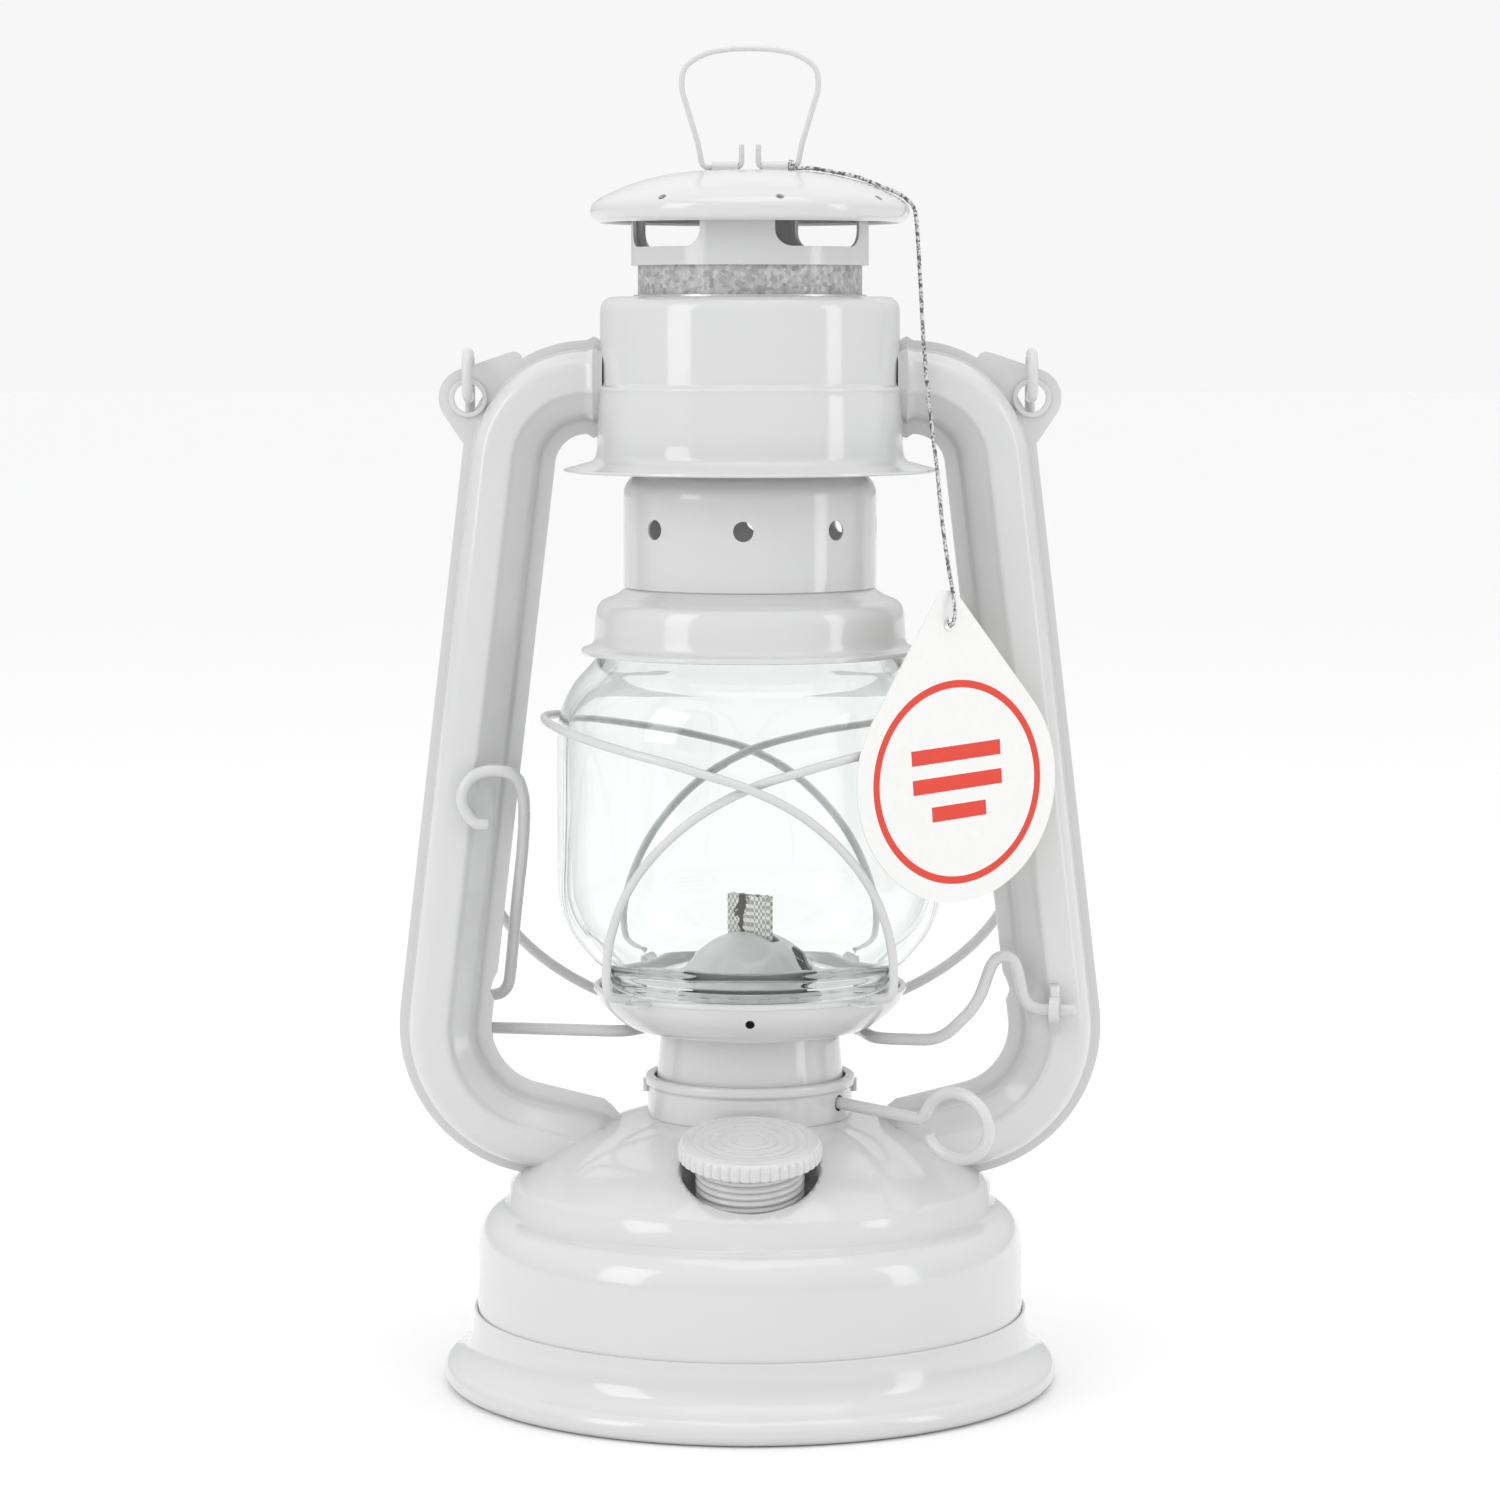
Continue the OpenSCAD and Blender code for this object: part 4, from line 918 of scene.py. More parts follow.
# %% Turn the unpainted neck
neck_low, neck_high = box_mm("neck_tube")
neck_line = rounded_line([[NECK_R - 0.6, neck_low[2] + 0.2, 0], [NECK_R - 0.6, 203.0, 0.4],
                          [NECK_R - 0.02, 203.8, 0.4], [NECK_R - 0.02, neck_high[2] - 0.2, 0]], 6)
finish_piece(new_object("galvanised_neck", turned("neck", wall(neck_line, 0.5), 192)),
             ["neck_tube"], galvanised)

# %% [markdown]
# ## The vent cap
#
# The cap is a shallow drawn dish with a tight shoulder. It keeps rain out of the chimney,
# and eight tiny holes in its shoulder let water drip off instead of sitting there.

# %% Turn the cap and drill it
cap_low, cap_high = box_mm("vent_cap")
CAP_R, CAP_Z = cap_high[0], cap_high[2]
cap_line = rounded_line([
    [CAP_R - 2.0, cap_low[2] + 0.1, 0], [CAP_R - 0.6, CAP_Z - 10.3, 0.8], [CAP_R, CAP_Z - 8.6, 1.2],
    [CAP_R - 0.6, CAP_Z - 6.8, 1.8], [CAP_R - 3.6, CAP_Z - 5.0, 2.4], [24, CAP_Z - 2.1, 6],
    [14, CAP_Z, 6], [0, CAP_Z, 0]], 10)
cap_outline = np.vstack([cap_line, (cap_line[-1] - [0, 0.6])[None],
                         offset_line(cap_line, 0.6)[:-1][::-1]])
cap_outline[:, 0] = np.maximum(cap_outline[:, 0], 0)
vent_cap = new_object("vent_cap_pressing", turned("cap", cap_outline, 224))
weld(vent_cap.data)
hole_at, hole_z, reach = CAP_R - 1.9, CAP_Z - 6.4, 2.5
drill(vent_cap, [rod(on_circle(hole_at - reach, s, hole_z - reach),
                     on_circle(hole_at + reach, s, hole_z + reach), 0.9, 24)
                 for s in np.radians(np.arange(0, 360, 45) - 79)])
finish_piece(vent_cap, ["vent_cap"], enamel)

# %% [markdown]
# ## The globe's plate and its skirt
#
# The plate that lifts the globe is a small dish with a rolled rim. Four tongues on the rim
# hold the feet of the two guard wires, and a drip hole is punched in its front.

# %% Turn the plate, add the tongues and punch the hole
PLATE_R, PLATE_Z = 33.65, 86.3
rim = np.radians(np.arange(-60, 190, 12))
rim_line = np.stack([PLATE_R - 0.3 + 0.75 * np.cos(rim), PLATE_Z + 0.05 + 0.75 * np.sin(rim)], 1)
dish_line = rounded_line([[18.7, 77.5, 0], [25.2, 77.5, 1.6], [28.4, 79.2, 2.2], [32.2, 82.6, 2],
                          [PLATE_R + 0.05, 85.7, 0]], 8)
plate_line = np.vstack([dish_line, rim_line])
plate = new_object("globe_plate_pressing", turned("plate", wall(plate_line, 0.5), 224))
drill(plate, [rod((0, -20, 82.6), (0, -40, 82.6), 1.0, 24)])


def slab(centre, along, across, half_size, height, roundness=0.25):
    """A flat bar with soft edges: a rounded rectangle carried up through its thickness."""
    a = np.linspace(0, 2 * np.pi, 48, endpoint=False)
    power = 0.28
    circle = np.stack([np.cos(a), np.sin(a)], 1)
    ring = np.sign(circle) * np.abs(circle) ** power
    spread = half_size[0] * ring[:, :1] * along + half_size[1] * ring[:, 1:] * across
    end_size, edge = 1 - roundness / min(half_size), roundness * 0.5
    levels = ((0, end_size), (edge, 1), (height - edge, 1), (height, end_size))
    return grid_mesh("slab", np.array([centre + grow * spread + [0, 0, z] for z, grow in levels]))


tongues = []
for angle_deg in (42, -42, 138, 222):
    a = math.radians(angle_deg - 90)
    out_dir = np.array([math.cos(a), math.sin(a), 0])
    cross_dir = np.array([-math.sin(a), math.cos(a), 0])
    tongue_foot = out_dir * (PLATE_R + 2.0) + [0, 0, 85.65]
    tongues.append(slab(tongue_foot, out_dir, cross_dir, (2.6, 2.3), 0.8))
plate.data = join_meshes("plate", [plate.data] + tongues)
finish_piece(plate, ["globe_plate"], enamel)
skirt_line = rounded_line([[20.3, 65.5, 0], [20.25, 67, 0.5], [19.35, 77.4, 0]], 6)
finish_piece(new_object("plate_skirt", turned("skirt", wall(skirt_line, 0.55), 160)),
             ["globe_skirt"], enamel)

# %% [markdown]
# ## The burner's collar
#
# The collar screws to the tank and holds the burner. Its upper rim is rolled inwards until
# it nearly touches the plate's skirt. The shaft passes through a plain hole, and a shallow
# round dimple beside it keeps the burner from turning: the wall's radius is less by
# 0.4 exp(-(d / 1.5)^2), where d is the distance from the dimple's middle.

# %% Turn the collar, press its dimple and drill the shaft's hole
collar_low, collar_high = box_mm("burner_collar")
COLLAR_R, RIM_Z = 22.3, collar_high[2]
SHAFT_TURN, SHAFT_OFF, SHAFT_Z, SHAFT_R = math.radians(-40), 3.7, 62.4, 1.3
collar_line = rounded_line([
    [COLLAR_R, collar_low[2] + 0.05, 0], [COLLAR_R, RIM_Z - 2.6, 0.4],
    [COLLAR_R + 0.55, RIM_Z - 2.1, 0.4], [COLLAR_R + 0.55, RIM_Z - 0.5, 0.6],
    [COLLAR_R - 0.2, RIM_Z - 0.02, 0.5], [20.85, RIM_Z - 0.3, 0.3], [20.75, RIM_Z - 1.2, 0]], 7)
collar_line = np.vstack([np.linspace(collar_line[0], collar_line[1], 16)[:-1], collar_line[1:]])
collar_outline = wall(collar_line, 0.55)
a = np.linspace(0, 2 * np.pi, 288, endpoint=False)[None]
DIMPLE_AT, DIMPLE_Z, DIMPLE_SIZE, DIMPLE_DEEP = math.radians(-66), RIM_Z - 4.4, 1.5, 0.4
arc = COLLAR_R * (np.mod(a - DIMPLE_AT + np.pi, 2 * np.pi) - np.pi)
fall = np.exp(-((arc / DIMPLE_SIZE) ** 2 + ((collar_outline[:, 1:] - DIMPLE_Z) / DIMPLE_SIZE) ** 2))
collar_r = collar_outline[:, :1] - DIMPLE_DEEP * fall
collar_points = ring_grid(collar_r, a, collar_outline[:, 1:])
collar = new_object("burner_collar_rolled", grid_mesh("collar", collar_points, wrap_u=True))
shaft_dir = np.array([math.cos(SHAFT_TURN), math.sin(SHAFT_TURN), 0])
shaft_cross = np.array([-shaft_dir[1], shaft_dir[0], 0])
shaft_foot = shaft_cross * SHAFT_OFF + [0, 0, SHAFT_Z]
drill(collar, [rod(shaft_foot + 16 * shaft_dir, shaft_foot + 26 * shaft_dir, SHAFT_R + 0.45)])
x_dir, y_dir = np.eye(3)[:2]
ears = [slab(np.array([(COLLAR_R + 0.45) * s, 0, RIM_Z - 4.1]), x_dir, y_dir, (0.55, 2.0), 2.7, 0.2)
        for s in (-1, 1)]
collar.data = join_meshes("collar", [collar.data] + ears)
finish_piece(collar, ["burner_collar"], enamel)

# %% [markdown]
# ## The guard wires
#
# Two wires spring from the tongues on each side, rise over the globe's front and back and
# cross its sides. They keep the glass from being knocked, and lift with it.

# %% Bend the guard wires round the globe
GUARD_R, GUARD_WIRE_R = 44.5, 0.95
guard_shape = np.array([[133, 90], [132, 99], [127, 109], [118, 118.5], [105, 127.5], [90, 133.8],
                        [75, 137.4], [60, 140], [30, 143.6], [0, 145]])
guard_turns = smooth_path(np.vstack([guard_shape, guard_shape[-2::-1] * [-1, 1]]), step=1.6)


def guard_path(lift):
    """A turn angle and a height become a place: x = -r cos a, y = -r sin a. Near a = 90
    degrees, where the two wires cross, r moves by 1.1 mm out or in."""
    a, z = guard_turns[:, 0], guard_turns[:, 1]
    r = GUARD_R + lift * 1.1 * np.exp(-((np.abs(a) - 90) / 14) ** 2)
    turn, feet = np.radians(a), []
    for angle_deg, order in ((133, 1), (-133, -1)):
        t = math.radians(angle_deg)
        foot = [[-rr * math.cos(t), -rr * math.sin(t), zz]
                for rr, zz in ((PLATE_R + 3.6, 87.5), (GUARD_R - 1.4, 88.4))]
        feet.append(foot[::order])
    arc = np.stack([-r * np.cos(turn), -r * np.sin(turn), z], 1)
    return smooth_path(np.vstack([feet[0], arc[1:-1], feet[1]]), 1.0)


for side, sign in (("left", 1), ("right", -1)):
    path = guard_path(sign) * [sign, 1, 1]
    finish_piece(new_object(f"guard_wire_{side}_bent", wire_mesh("guard", path, GUARD_WIRE_R, 18)),
                 [f"guard_wire_{side}"], wire_paint)

# %% [markdown]
# ## The lift lever
#
# One piece of wire makes the lever: it turns in a lug on each side tube, cranks under the
# globe's plate in a half circle, and ends in a finger hook. Pushing the hook down lifts the
# globe for lighting the wick.

# %% Bend the lever
LEVER_R, LEVER_Z = 1.3, 82.8
LUG = np.array([65.7, -12.0])
lever_u = LUG / np.linalg.norm(LUG)
lever_v = np.array([-lever_u[1], lever_u[0]])


def lever_point(u, v, w, cut=4.0):
    """u runs along the lever's own axis, v across it and w up."""
    x, y = u * lever_u + v * lever_v
    return [x, y, LEVER_Z + w, cut]


bow_turn = np.radians(np.arange(14, 167, 9.5))
lever_points = ([lever_point(*p) for p in ((71.5, 0, 0), (60.5, 0, 0), (58, 0, 11.4), (53.5, 0, 11.4),
                                           (50, 0, 0.8), (42, 0, -7.3), (28, 0, -7.3))]
                + [lever_point(25.5 * math.cos(t), 24 * math.sin(t), -7.3) for t in bow_turn]
                + [lever_point(*p) for p in ((-28, 0, -7.3), (-71.3, 0, -7.3), (-71.3, 0, 0), (-54.2, 0, 0))]
                + [[-52.3, 8, 91, 4], [-51.3, 4.6, 101, 6], [-49, -1.2, 119, 8], [-48.6, -7, 129, 5],
                   [-50.5, -11.3, 134.4, 4], [-59, -11.6, 134.6, 5], [-62.6, -11.4, 128.5, 5],
                   [-59.5, -11.3, 123, 4], [-55.7, -11.3, 122.8, 0]])
lever_path = rounded_line(lever_points, 10)
finish_piece(new_object("lift_lever_bent", wire_mesh("lever", lever_path, LEVER_R, 20)),
             ["lift_lever"], wire_paint)

# %% [markdown]
# ## The bail
#
# The bail is one long wire. Its ends are hooked round the ears, and at rest it hangs behind
# the lantern, leaning on it a little.

# %% Bend the bail
BAIL_R, HOOK_R, LEAN = 1.15, 4.8, math.radians(10)
HOOK_Z = EAR_Z + HOOK_R
hook_turn = np.radians(np.arange(295, -1, -7.5))
bow_turn = np.radians(np.arange(6, 175, 6))
hook = np.stack([np.full_like(hook_turn, EAR_X), HOOK_R * np.cos(hook_turn),
                 HOOK_R * np.sin(hook_turn)], 1)
arm = np.array([[EAR_X, HOOK_R, -40], [EAR_X, HOOK_R, -80], [EAR_X, HOOK_R, -100]])
low_bow = np.stack([EAR_X * np.cos(bow_turn), np.full_like(bow_turn, HOOK_R),
                    -106 - 42 * np.sin(bow_turn)], 1)
mirror = np.array([-1, 1, 1])
flat_bail = np.vstack([hook, arm, low_bow, arm[::-1] * mirror, hook[::-1] * mirror])
bail_path = np.stack([flat_bail[:, 0],
                      flat_bail[:, 1] * math.cos(LEAN) - flat_bail[:, 2] * math.sin(LEAN),
                      flat_bail[:, 1] * math.sin(LEAN) + flat_bail[:, 2] * math.cos(LEAN) + HOOK_Z], 1)
finish_piece(new_object("bail_bent", wire_mesh("bail", smooth_path(bail_path, 1.5), BAIL_R, 20)),
             ["bail"], wire_paint)

# %% [markdown]
# ## The lifting ring
#
# A thin wire loop stands on the vent cap under two small straps. Pulling it up raises the
# chimney, so that the globe can be tilted out.

# %% Bend the ring
ring_corner = rounded_line([[1.8, 5, 0], [1.8, 0, 1.4], [10.2, 0, 1.4], [11.2, 5.2, 0]], 8)
ring_arch = smooth_path([[11.2, 5.2], [13.4, 12.5], [14.6, 17], [13.8, 21.2], [9.6, 24], [4.5, 25],
                         [0, 25.2]], 0.8)
ring_half = np.vstack([ring_corner[:-1], ring_arch])
ring_flat = np.vstack([ring_half, ring_half[-2::-1] * [-1, 1]])
ring_path = np.stack([ring_flat[:, 0], np.zeros(len(ring_flat)), RING_Z + ring_flat[:, 1]], 1)
finish_piece(new_object("lifting_ring_bent", wire_mesh("ring", ring_path, RING_R, 16)),
             ["lifting_ring"], wire_paint)

# %% [markdown]
# ## The burner's wick and its shaft
#
# The flat cotton wick is woven like a ribbon. Its relief here is one wave across times one
# along it, shifted from cord to cord. Its top edge is ragged where it has burnt, and a dark
# wavy streak runs down it, a little off its middle. The wire that winds it runs out through
# the collar, down to the front, and ends in a loop.

# %% Weave the wick
WICK_W, WICK_T, CORD_PITCH, KNOT_PITCH = 12.5, 1.4, 0.95, 1.3
wick_low, wick_high = box_mm("wick")
round_turn = np.linspace(0, 2 * np.pi, 280, endpoint=False)[None]
level = np.concatenate([np.linspace(wick_low[2], 88, 12),
                        np.linspace(88.3, wick_high[2] - 0.25, 90)])[:, None]
flat_cos, flat_sin = np.cos(round_turn), np.sin(round_turn)
body_x = (WICK_W / 2 - 0.1) * np.sign(flat_cos) * np.abs(flat_cos) ** 0.55
body_y = (WICK_T / 2 - 0.08) * np.sign(flat_sin) * np.abs(flat_sin) ** 0.3
cord = body_x / CORD_PITCH
cords = (0.07 * np.cos(2 * np.pi * cord)
         * np.cos(2 * np.pi * level / KNOT_PITCH + np.pi * np.round(cord)))
near_top = np.clip((level - 105.6) / 0.8, 0, 1)
ragged = 0.22 * np.sin(body_x * 5.1 + 0.4) * np.sin(body_x * 2.3) * near_top
local = np.stack([np.broadcast_to(body_x, cords.shape), body_y + np.sign(flat_sin) * cords,
                  np.minimum(level + ragged, wick_high[2] - 0.02)], -1)
turn_matrix = np.array([[math.cos(SHAFT_TURN), -math.sin(SHAFT_TURN), 0],
                        [math.sin(SHAFT_TURN), math.cos(SHAFT_TURN), 0], [0, 0, 1]])
wick_mesh = grid_mesh("wick", local @ turn_matrix.T)

# %% Colour the wick: a chequered weave, burnt dark near the top, and a dark wavy streak down it
cotton, tree, shader = new_material("woven_wick_cotton")
shader.inputs["Sheen Weight"].default_value = 0.25
where = add(tree, "ShaderNodeTexCoord")
split = add(tree, "ShaderNodeSeparateXYZ")
stain = add(tree, "ShaderNodeTexNoise", Scale=420.0, Detail=4.0)
height = add(tree, "ShaderNodeMapRange", From_Min=0.0985, From_Max=0.1066, To_Min=-0.12, To_Max=0.14)
across = add(tree, "ShaderNodeVectorMath", operation="DOT_PRODUCT")
across.inputs[1].default_value = shaft_dir
wander = add(tree, "ShaderNodeMath", operation="MULTIPLY_ADD")
wander.inputs[1].default_value = 0.006
centred = add(tree, "ShaderNodeMath", operation="ADD")
centred.inputs[1].default_value = -0.0012
off_line = add(tree, "ShaderNodeMath", operation="ABSOLUTE")
# The streak is dark colour in a wavy band down the wick, a little off its middle line, moved from side to
# side by the stain noise.
streak = add(tree, "ShaderNodeMapRange", From_Min=0.0008, From_Max=0.0016, To_Min=0.45, To_Max=0.0)
scorch = add(tree, "ShaderNodeMath", operation="ADD")
# The burnt top and the streak together set how much dark colour the cotton takes.
char_and_streak_share = add(tree, "ShaderNodeMath", operation="ADD")
weave = add(tree, "ShaderNodeTexChecker", Scale=1150.0,
            Color1=(0.80, 0.79, 0.76, 1), Color2=(0.36, 0.35, 0.33, 1))
char_and_streak = add(tree, "ShaderNodeMix", data_type="RGBA", B=(0.03, 0.027, 0.025, 1))
ramp = two_tone(tree, (0.68, (0, 0, 0, 1)), (0.76, (1, 1, 1, 1)))
lint = add(tree, "ShaderNodeTexNoise", Scale=2600.0, Detail=2.0)
relief = add(tree, "ShaderNodeBump", Strength=0.5, Distance=0.00012)
rough = add(tree, "ShaderNodeMapRange", To_Min=0.8, To_Max=1.0)
for pattern in (split, stain, lint, across, weave):
    link(tree, (where.outputs["Object"], pattern.inputs[0]))
link(tree,
     (split.outputs["Z"], height.inputs["Value"]),
     (height.outputs["Result"], scorch.inputs[0]),
     (stain.outputs["Fac"], scorch.inputs[1]),
     (stain.outputs["Fac"], wander.inputs[0]),
     (across.outputs["Value"], wander.inputs[2]),
     (wander.outputs[0], centred.inputs[0]),
     (centred.outputs[0], off_line.inputs[0]),
     (off_line.outputs[0], streak.inputs["Value"]),
     (streak.outputs["Result"], char_and_streak_share.inputs[0]),
     (scorch.outputs[0], char_and_streak_share.inputs[1]),
     (char_and_streak_share.outputs[0], ramp.inputs["Fac"]),
     (ramp.outputs["Color"], char_and_streak.inputs["Factor"]),
     (weave.outputs["Color"], char_and_streak.inputs["A"]),
     (char_and_streak.outputs["Result"], shader.inputs["Base Color"]),
     (lint.outputs["Fac"], rough.inputs["Value"]),
     (rough.outputs["Result"], shader.inputs["Roughness"]),
     (lint.outputs["Fac"], relief.inputs["Height"]),
     (relief.outputs["Normal"], shader.inputs["Normal"]))
finish_piece(new_object("wick_woven", wick_mesh), ["wick"], cotton, crease=60)

# %% Bend the shaft's loop
drop = math.radians(2.5)


def shaft_place(points):
    """From the shaft's own axis to the lantern: it pivots down by 2.5 degrees at the collar,
    then turns by -40 degrees round the lantern's axis."""
    p = np.asarray(points, float) - [COLLAR_R, 0, 0]
    tilted = np.stack([p[:, 0] * math.cos(drop) + p[:, 2] * math.sin(drop), p[:, 1],
                       -p[:, 0] * math.sin(drop) + p[:, 2] * math.cos(drop)], 1)
    return (tilted + [COLLAR_R, SHAFT_OFF, SHAFT_Z]) @ turn_matrix.T


REACH = 45.6
loop_turn = np.radians(np.arange(162, -161, -9))
LOOP_X, LOOP_Z = 8.4, 7
loop = np.stack([REACH + LOOP_X + LOOP_X * np.cos(loop_turn), np.zeros(len(loop_turn)),
                 LOOP_Z * np.sin(loop_turn)], 1)
shaft_rod = straight(np.array([-9.0, 0, 0]), np.array([REACH - 1.2, 0, 0]), 30)
shaft_path = smooth_path(shaft_place(np.vstack([shaft_rod, smooth_path(loop, 1)])), 1.0)
finish_piece(new_object("wick_shaft_bent", wire_mesh("shaft", shaft_path, SHAFT_R, 20)),
             ["wick_shaft"], wire_paint)

# %% [markdown]
# ## The burner's dome
#
# The flame stands in the slot of a small round dome. A large round hole in its right
# shoulder is for lighting the wick. The dome is part of a ball: its height over the rim is
# sqrt(B^2 - r^2) less the ball's height at the rim.

# %% Turn the dome, cut its slot and its lighting hole
dome_low, dome_high = box_mm("burner_dome")
DOME_R, DOME_TOP, RIM_LEVEL = 12.9, dome_high[2], dome_low[2] + 0.1
rise = DOME_TOP - RIM_LEVEL - 0.6
ball = (DOME_R ** 2 + rise ** 2) / (2 * rise)
r = DOME_R * np.sin(np.linspace(0.5 * np.pi, 0, 40))
dome_line = np.vstack([[[DOME_R + 0.9, RIM_LEVEL]], [[DOME_R + 0.75, RIM_LEVEL + 0.45]],
                       np.stack([r, DOME_TOP - ball + np.sqrt(ball ** 2 - r ** 2)], 1)])
dome_outline = np.vstack([dome_line, [[0, DOME_TOP - 0.5]], offset_line(dome_line, 0.5)[:-1][::-1]])
dome_outline[:, 0] = np.maximum(dome_outline[:, 0], 0)
dome = new_object("burner_dome_spun", turned("dome", dome_outline, 160))
weld(dome.data)
slot_foot = np.array([0, 0, DOME_TOP - 5])
slot = slab(slot_foot, shaft_dir, shaft_cross, (WICK_W / 2 + 1.2, 1.9), 12, 0.3)
hole_axis = np.array([math.sin(math.radians(52)), -0.22, math.cos(math.radians(52))])
hole_axis /= np.linalg.norm(hole_axis)
hole_base = np.array([0, 0, DOME_TOP - ball])
drill(dome, [slot, rod(hole_base + hole_axis * (ball - 3), hole_base + hole_axis * (ball + 4), 3.3)])
finish_piece(dome, ["burner_dome"], enamel, crease=50)

# %% [markdown]
# ## The filler cap and its threaded neck
#
# The cap is a shallow drawn lid with rings pressed in its top and a knurled skirt: 44 soft
# ribs that a thumb can grip. The neck below carries a rolled thread, a real helix here: its
# radius is a wave of the height less the angle's share of one pitch.

# %% Turn the cap with its knurls
FILLER_Y, FILLER_Z, FILLER_TILT = -38.6, 59.5, math.radians(11.5)
CAP_OUT, RIBS, SKIRT = 15.3, 44, 4.2


def filler_place(points):
    """Tilts local points forward and stands them on the filler's axis."""
    p = np.asarray(points, float)
    y = p[..., 1] * math.cos(FILLER_TILT) - p[..., 2] * math.sin(FILLER_TILT)
    z = p[..., 1] * math.sin(FILLER_TILT) + p[..., 2] * math.cos(FILLER_TILT)
    return np.stack([p[..., 0], FILLER_Y + y, FILLER_Z + z], -1)


RING_PITCH, RING_DEPTH = 2.3, 0.26
edge = rounded_line([[12.0, -SKIRT + 0.1, 0], [CAP_OUT - 0.35, -SKIRT + 0.15, 0.25],
                     [CAP_OUT - 0.05, -SKIRT + 0.5, 0.3], [CAP_OUT - 0.02, -1.5, 0.5],
                     [CAP_OUT - 0.7, -0.45, 0.7], [12.9, -0.08, 0.5], [12.4, -0.05, 0]], 8)
ring_r = np.linspace(12.2, 0, 84)
ring_wave = (0.5 - 0.5 * np.cos(2 * np.pi * ring_r / RING_PITCH)) * (ring_r > RING_PITCH)
under = np.array([[0, -0.7], [11.85, -0.9], [11.95, -SKIRT + 0.4]])
lid_outline = np.vstack([edge, np.stack([ring_r, -0.05 - RING_DEPTH * ring_wave], 1), under])
a = np.linspace(0, 2 * np.pi, RIBS * 12, endpoint=False)[None]
r, h = lid_outline[:, :1], lid_outline[:, 1:]
gripped = np.clip((-0.75 - h) / 0.5, 0, 1) * (r > CAP_OUT - 0.6)
RIB_DEEP = 0.42
rr = r - gripped * RIB_DEEP * (1 - np.abs(np.sin(RIBS * a / 2)) ** 0.8)
cap_mesh = grid_mesh("filler_cap", filler_place(ring_grid(rr, a, h)), wrap_u=True)
weld(cap_mesh)
finish_piece(new_object("filler_cap_knurled", cap_mesh), ["filler_cap"], enamel, crease=50)

# %% Roll the thread on the neck
NECK_THREAD, THREAD_PITCH = 11.6, 1.55
h = np.linspace(-15.8, -3.5, 200)[:, None]
a = np.linspace(0, 2 * np.pi, 96, endpoint=False)[None]
bead = np.abs(np.sin(np.pi * (h / THREAD_PITCH - a / (2 * np.pi)))) ** 0.55
fade = np.clip((-4.0 - h) / 1.2, 0, 1)
outer_r = NECK_THREAD - 0.95 + 0.9 * bead * fade
inner_r = np.full_like(outer_r, NECK_THREAD - 1.6)
neck_grid = np.concatenate([ring_grid(outer_r, a, h), ring_grid(inner_r, a, h)[::-1]])
neck_mesh = grid_mesh("filler_neck", filler_place(neck_grid), wrap_u=True)
finish_piece(new_object("filler_neck_threaded", neck_mesh), ["filler_neck"], enamel, crease=60)

# %% [markdown]
# ## Parts whose CAD shape is already right
#
# Pockets, slots, windows and small brackets come straight from the CAD solids. Their meshes
# are loose triangles, so each is copied, welded and shaded smooth over its curved faces.

# %% Dress the remaining nodes
for node in ("tank_shell", "burner_barrel", "globe_deck", "lever_lugs", "cap_cage", "ring_straps"):
    dressed(node, enamel)
for node in ("wick_tube", "burner_base", "chimney_guide", "chamber_floor"):
    dressed(node, tinned)
for node, paint in (("tank_bottom", galvanised), ("fuel_plate", galvanised), ("spur_wheels", brass),
                    ("filler_gasket", rubber)):
    dressed(node, paint)

# %% [markdown]
# ## The studio
#
# White paint only shows its shape through what it reflects: large soft lights from above and
# from both sides give broad pale bands, and the greyer lower room draws the edges.

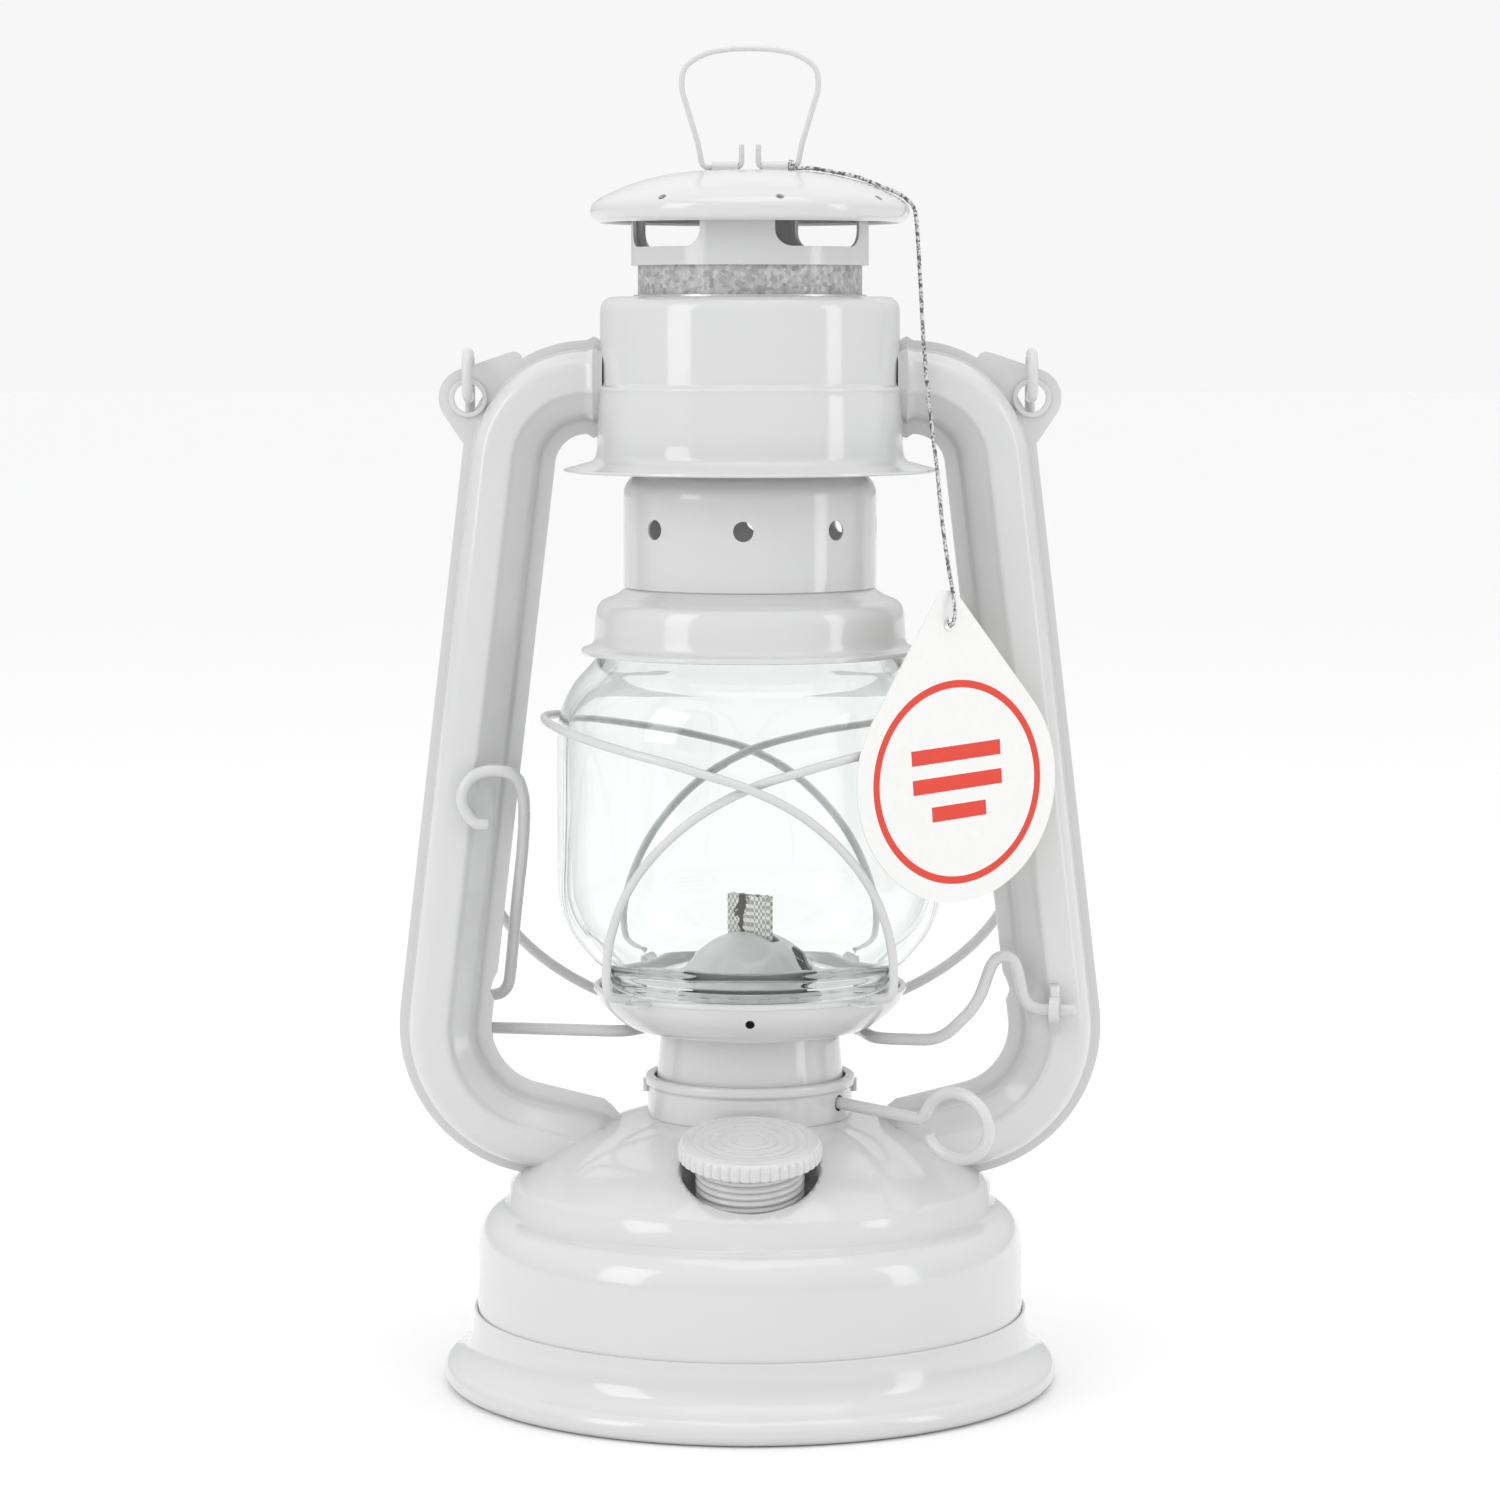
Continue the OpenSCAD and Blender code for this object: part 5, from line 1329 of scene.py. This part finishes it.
# %% Floor, room and lights
floor_r = np.array([0.0, 400.0, 2000.0, 14000.0])
around = np.linspace(0, 2 * np.pi, 64, endpoint=False)
floor_mesh = grid_mesh("floor", ring_grid(floor_r[:, None], around, 0.0), caps=False)
weld(floor_mesh)
floor = new_object("studio_floor", floor_mesh)
if floor_mesh.polygons[0].normal.z < 0:
    floor_mesh.flip_normals()
floor_paint = new_finish("pale_floor_paint", paint_skin,
                         {"Colour": (0.93, 0.93, 0.93, 1), "Shade": (0.92, 0.92, 0.92, 1),
                          "Gloss low": 0.55, "Gloss high": 0.7, "Peel per metre": 60.0},
                         (0.02, 0.0002))
floor_mesh.materials.append(floor_paint)

room = bpy.data.worlds.new("studio_room")
bpy.context.scene.world = room
room.use_nodes = True
tree = room.node_tree
backing = tree.nodes["Background"]
backing.inputs["Strength"].default_value = 1.0
where = add(tree, "ShaderNodeTexCoord")
split = add(tree, "ShaderNodeSeparateXYZ")
ramp = two_tone(tree, (0.05, (0.62, 0.625, 0.63, 1)), (0.55, (1.08, 1.08, 1.08, 1)))
seen = add(tree, "ShaderNodeBackground", Color=(0.93, 0.93, 0.93, 1))
path_kind = add(tree, "ShaderNodeLightPath")
choose = add(tree, "ShaderNodeMixShader")
link(tree,
     (where.outputs["Generated"], split.inputs["Vector"]),
     (split.outputs["Z"], ramp.inputs["Fac"]),
     (ramp.outputs["Color"], backing.inputs["Color"]),
     (path_kind.outputs["Is Camera Ray"], choose.inputs[0]),
     (backing.outputs[0], choose.inputs[1]),
     (seen.outputs[0], choose.inputs[2]),
     (choose.outputs[0], tree.nodes["World Output"].inputs["Surface"]))


def soft_light(name, place, aim, size, power):
    """A rectangular soft box at a place, turned to face a point."""
    lamp = bpy.data.lights.new(name, "AREA")
    lamp.shape, lamp.energy = "RECTANGLE", power
    lamp.size, lamp.size_y = size
    holder = bpy.data.objects.new(name, lamp)
    bpy.context.scene.collection.objects.link(holder)
    holder.location = place
    holder.rotation_euler = (Vector(aim) - Vector(place)).to_track_quat("-Z", "Y").to_euler()


middle = (0, 0, 0.14)
soft_light("left_softbox", (-1.3, -0.9, 0.75), middle, (0.6, 1.1), 5.0)
soft_light("right_softbox", (1.4, -0.6, 0.5), middle, (0.35, 1.1), 2.6)
soft_light("top_softbox", (0.1, -0.2, 1.7), middle, (1.2, 1.2), 4.0)
bpy.context.scene.view_settings.view_transform = "Standard"
print("lights placed")
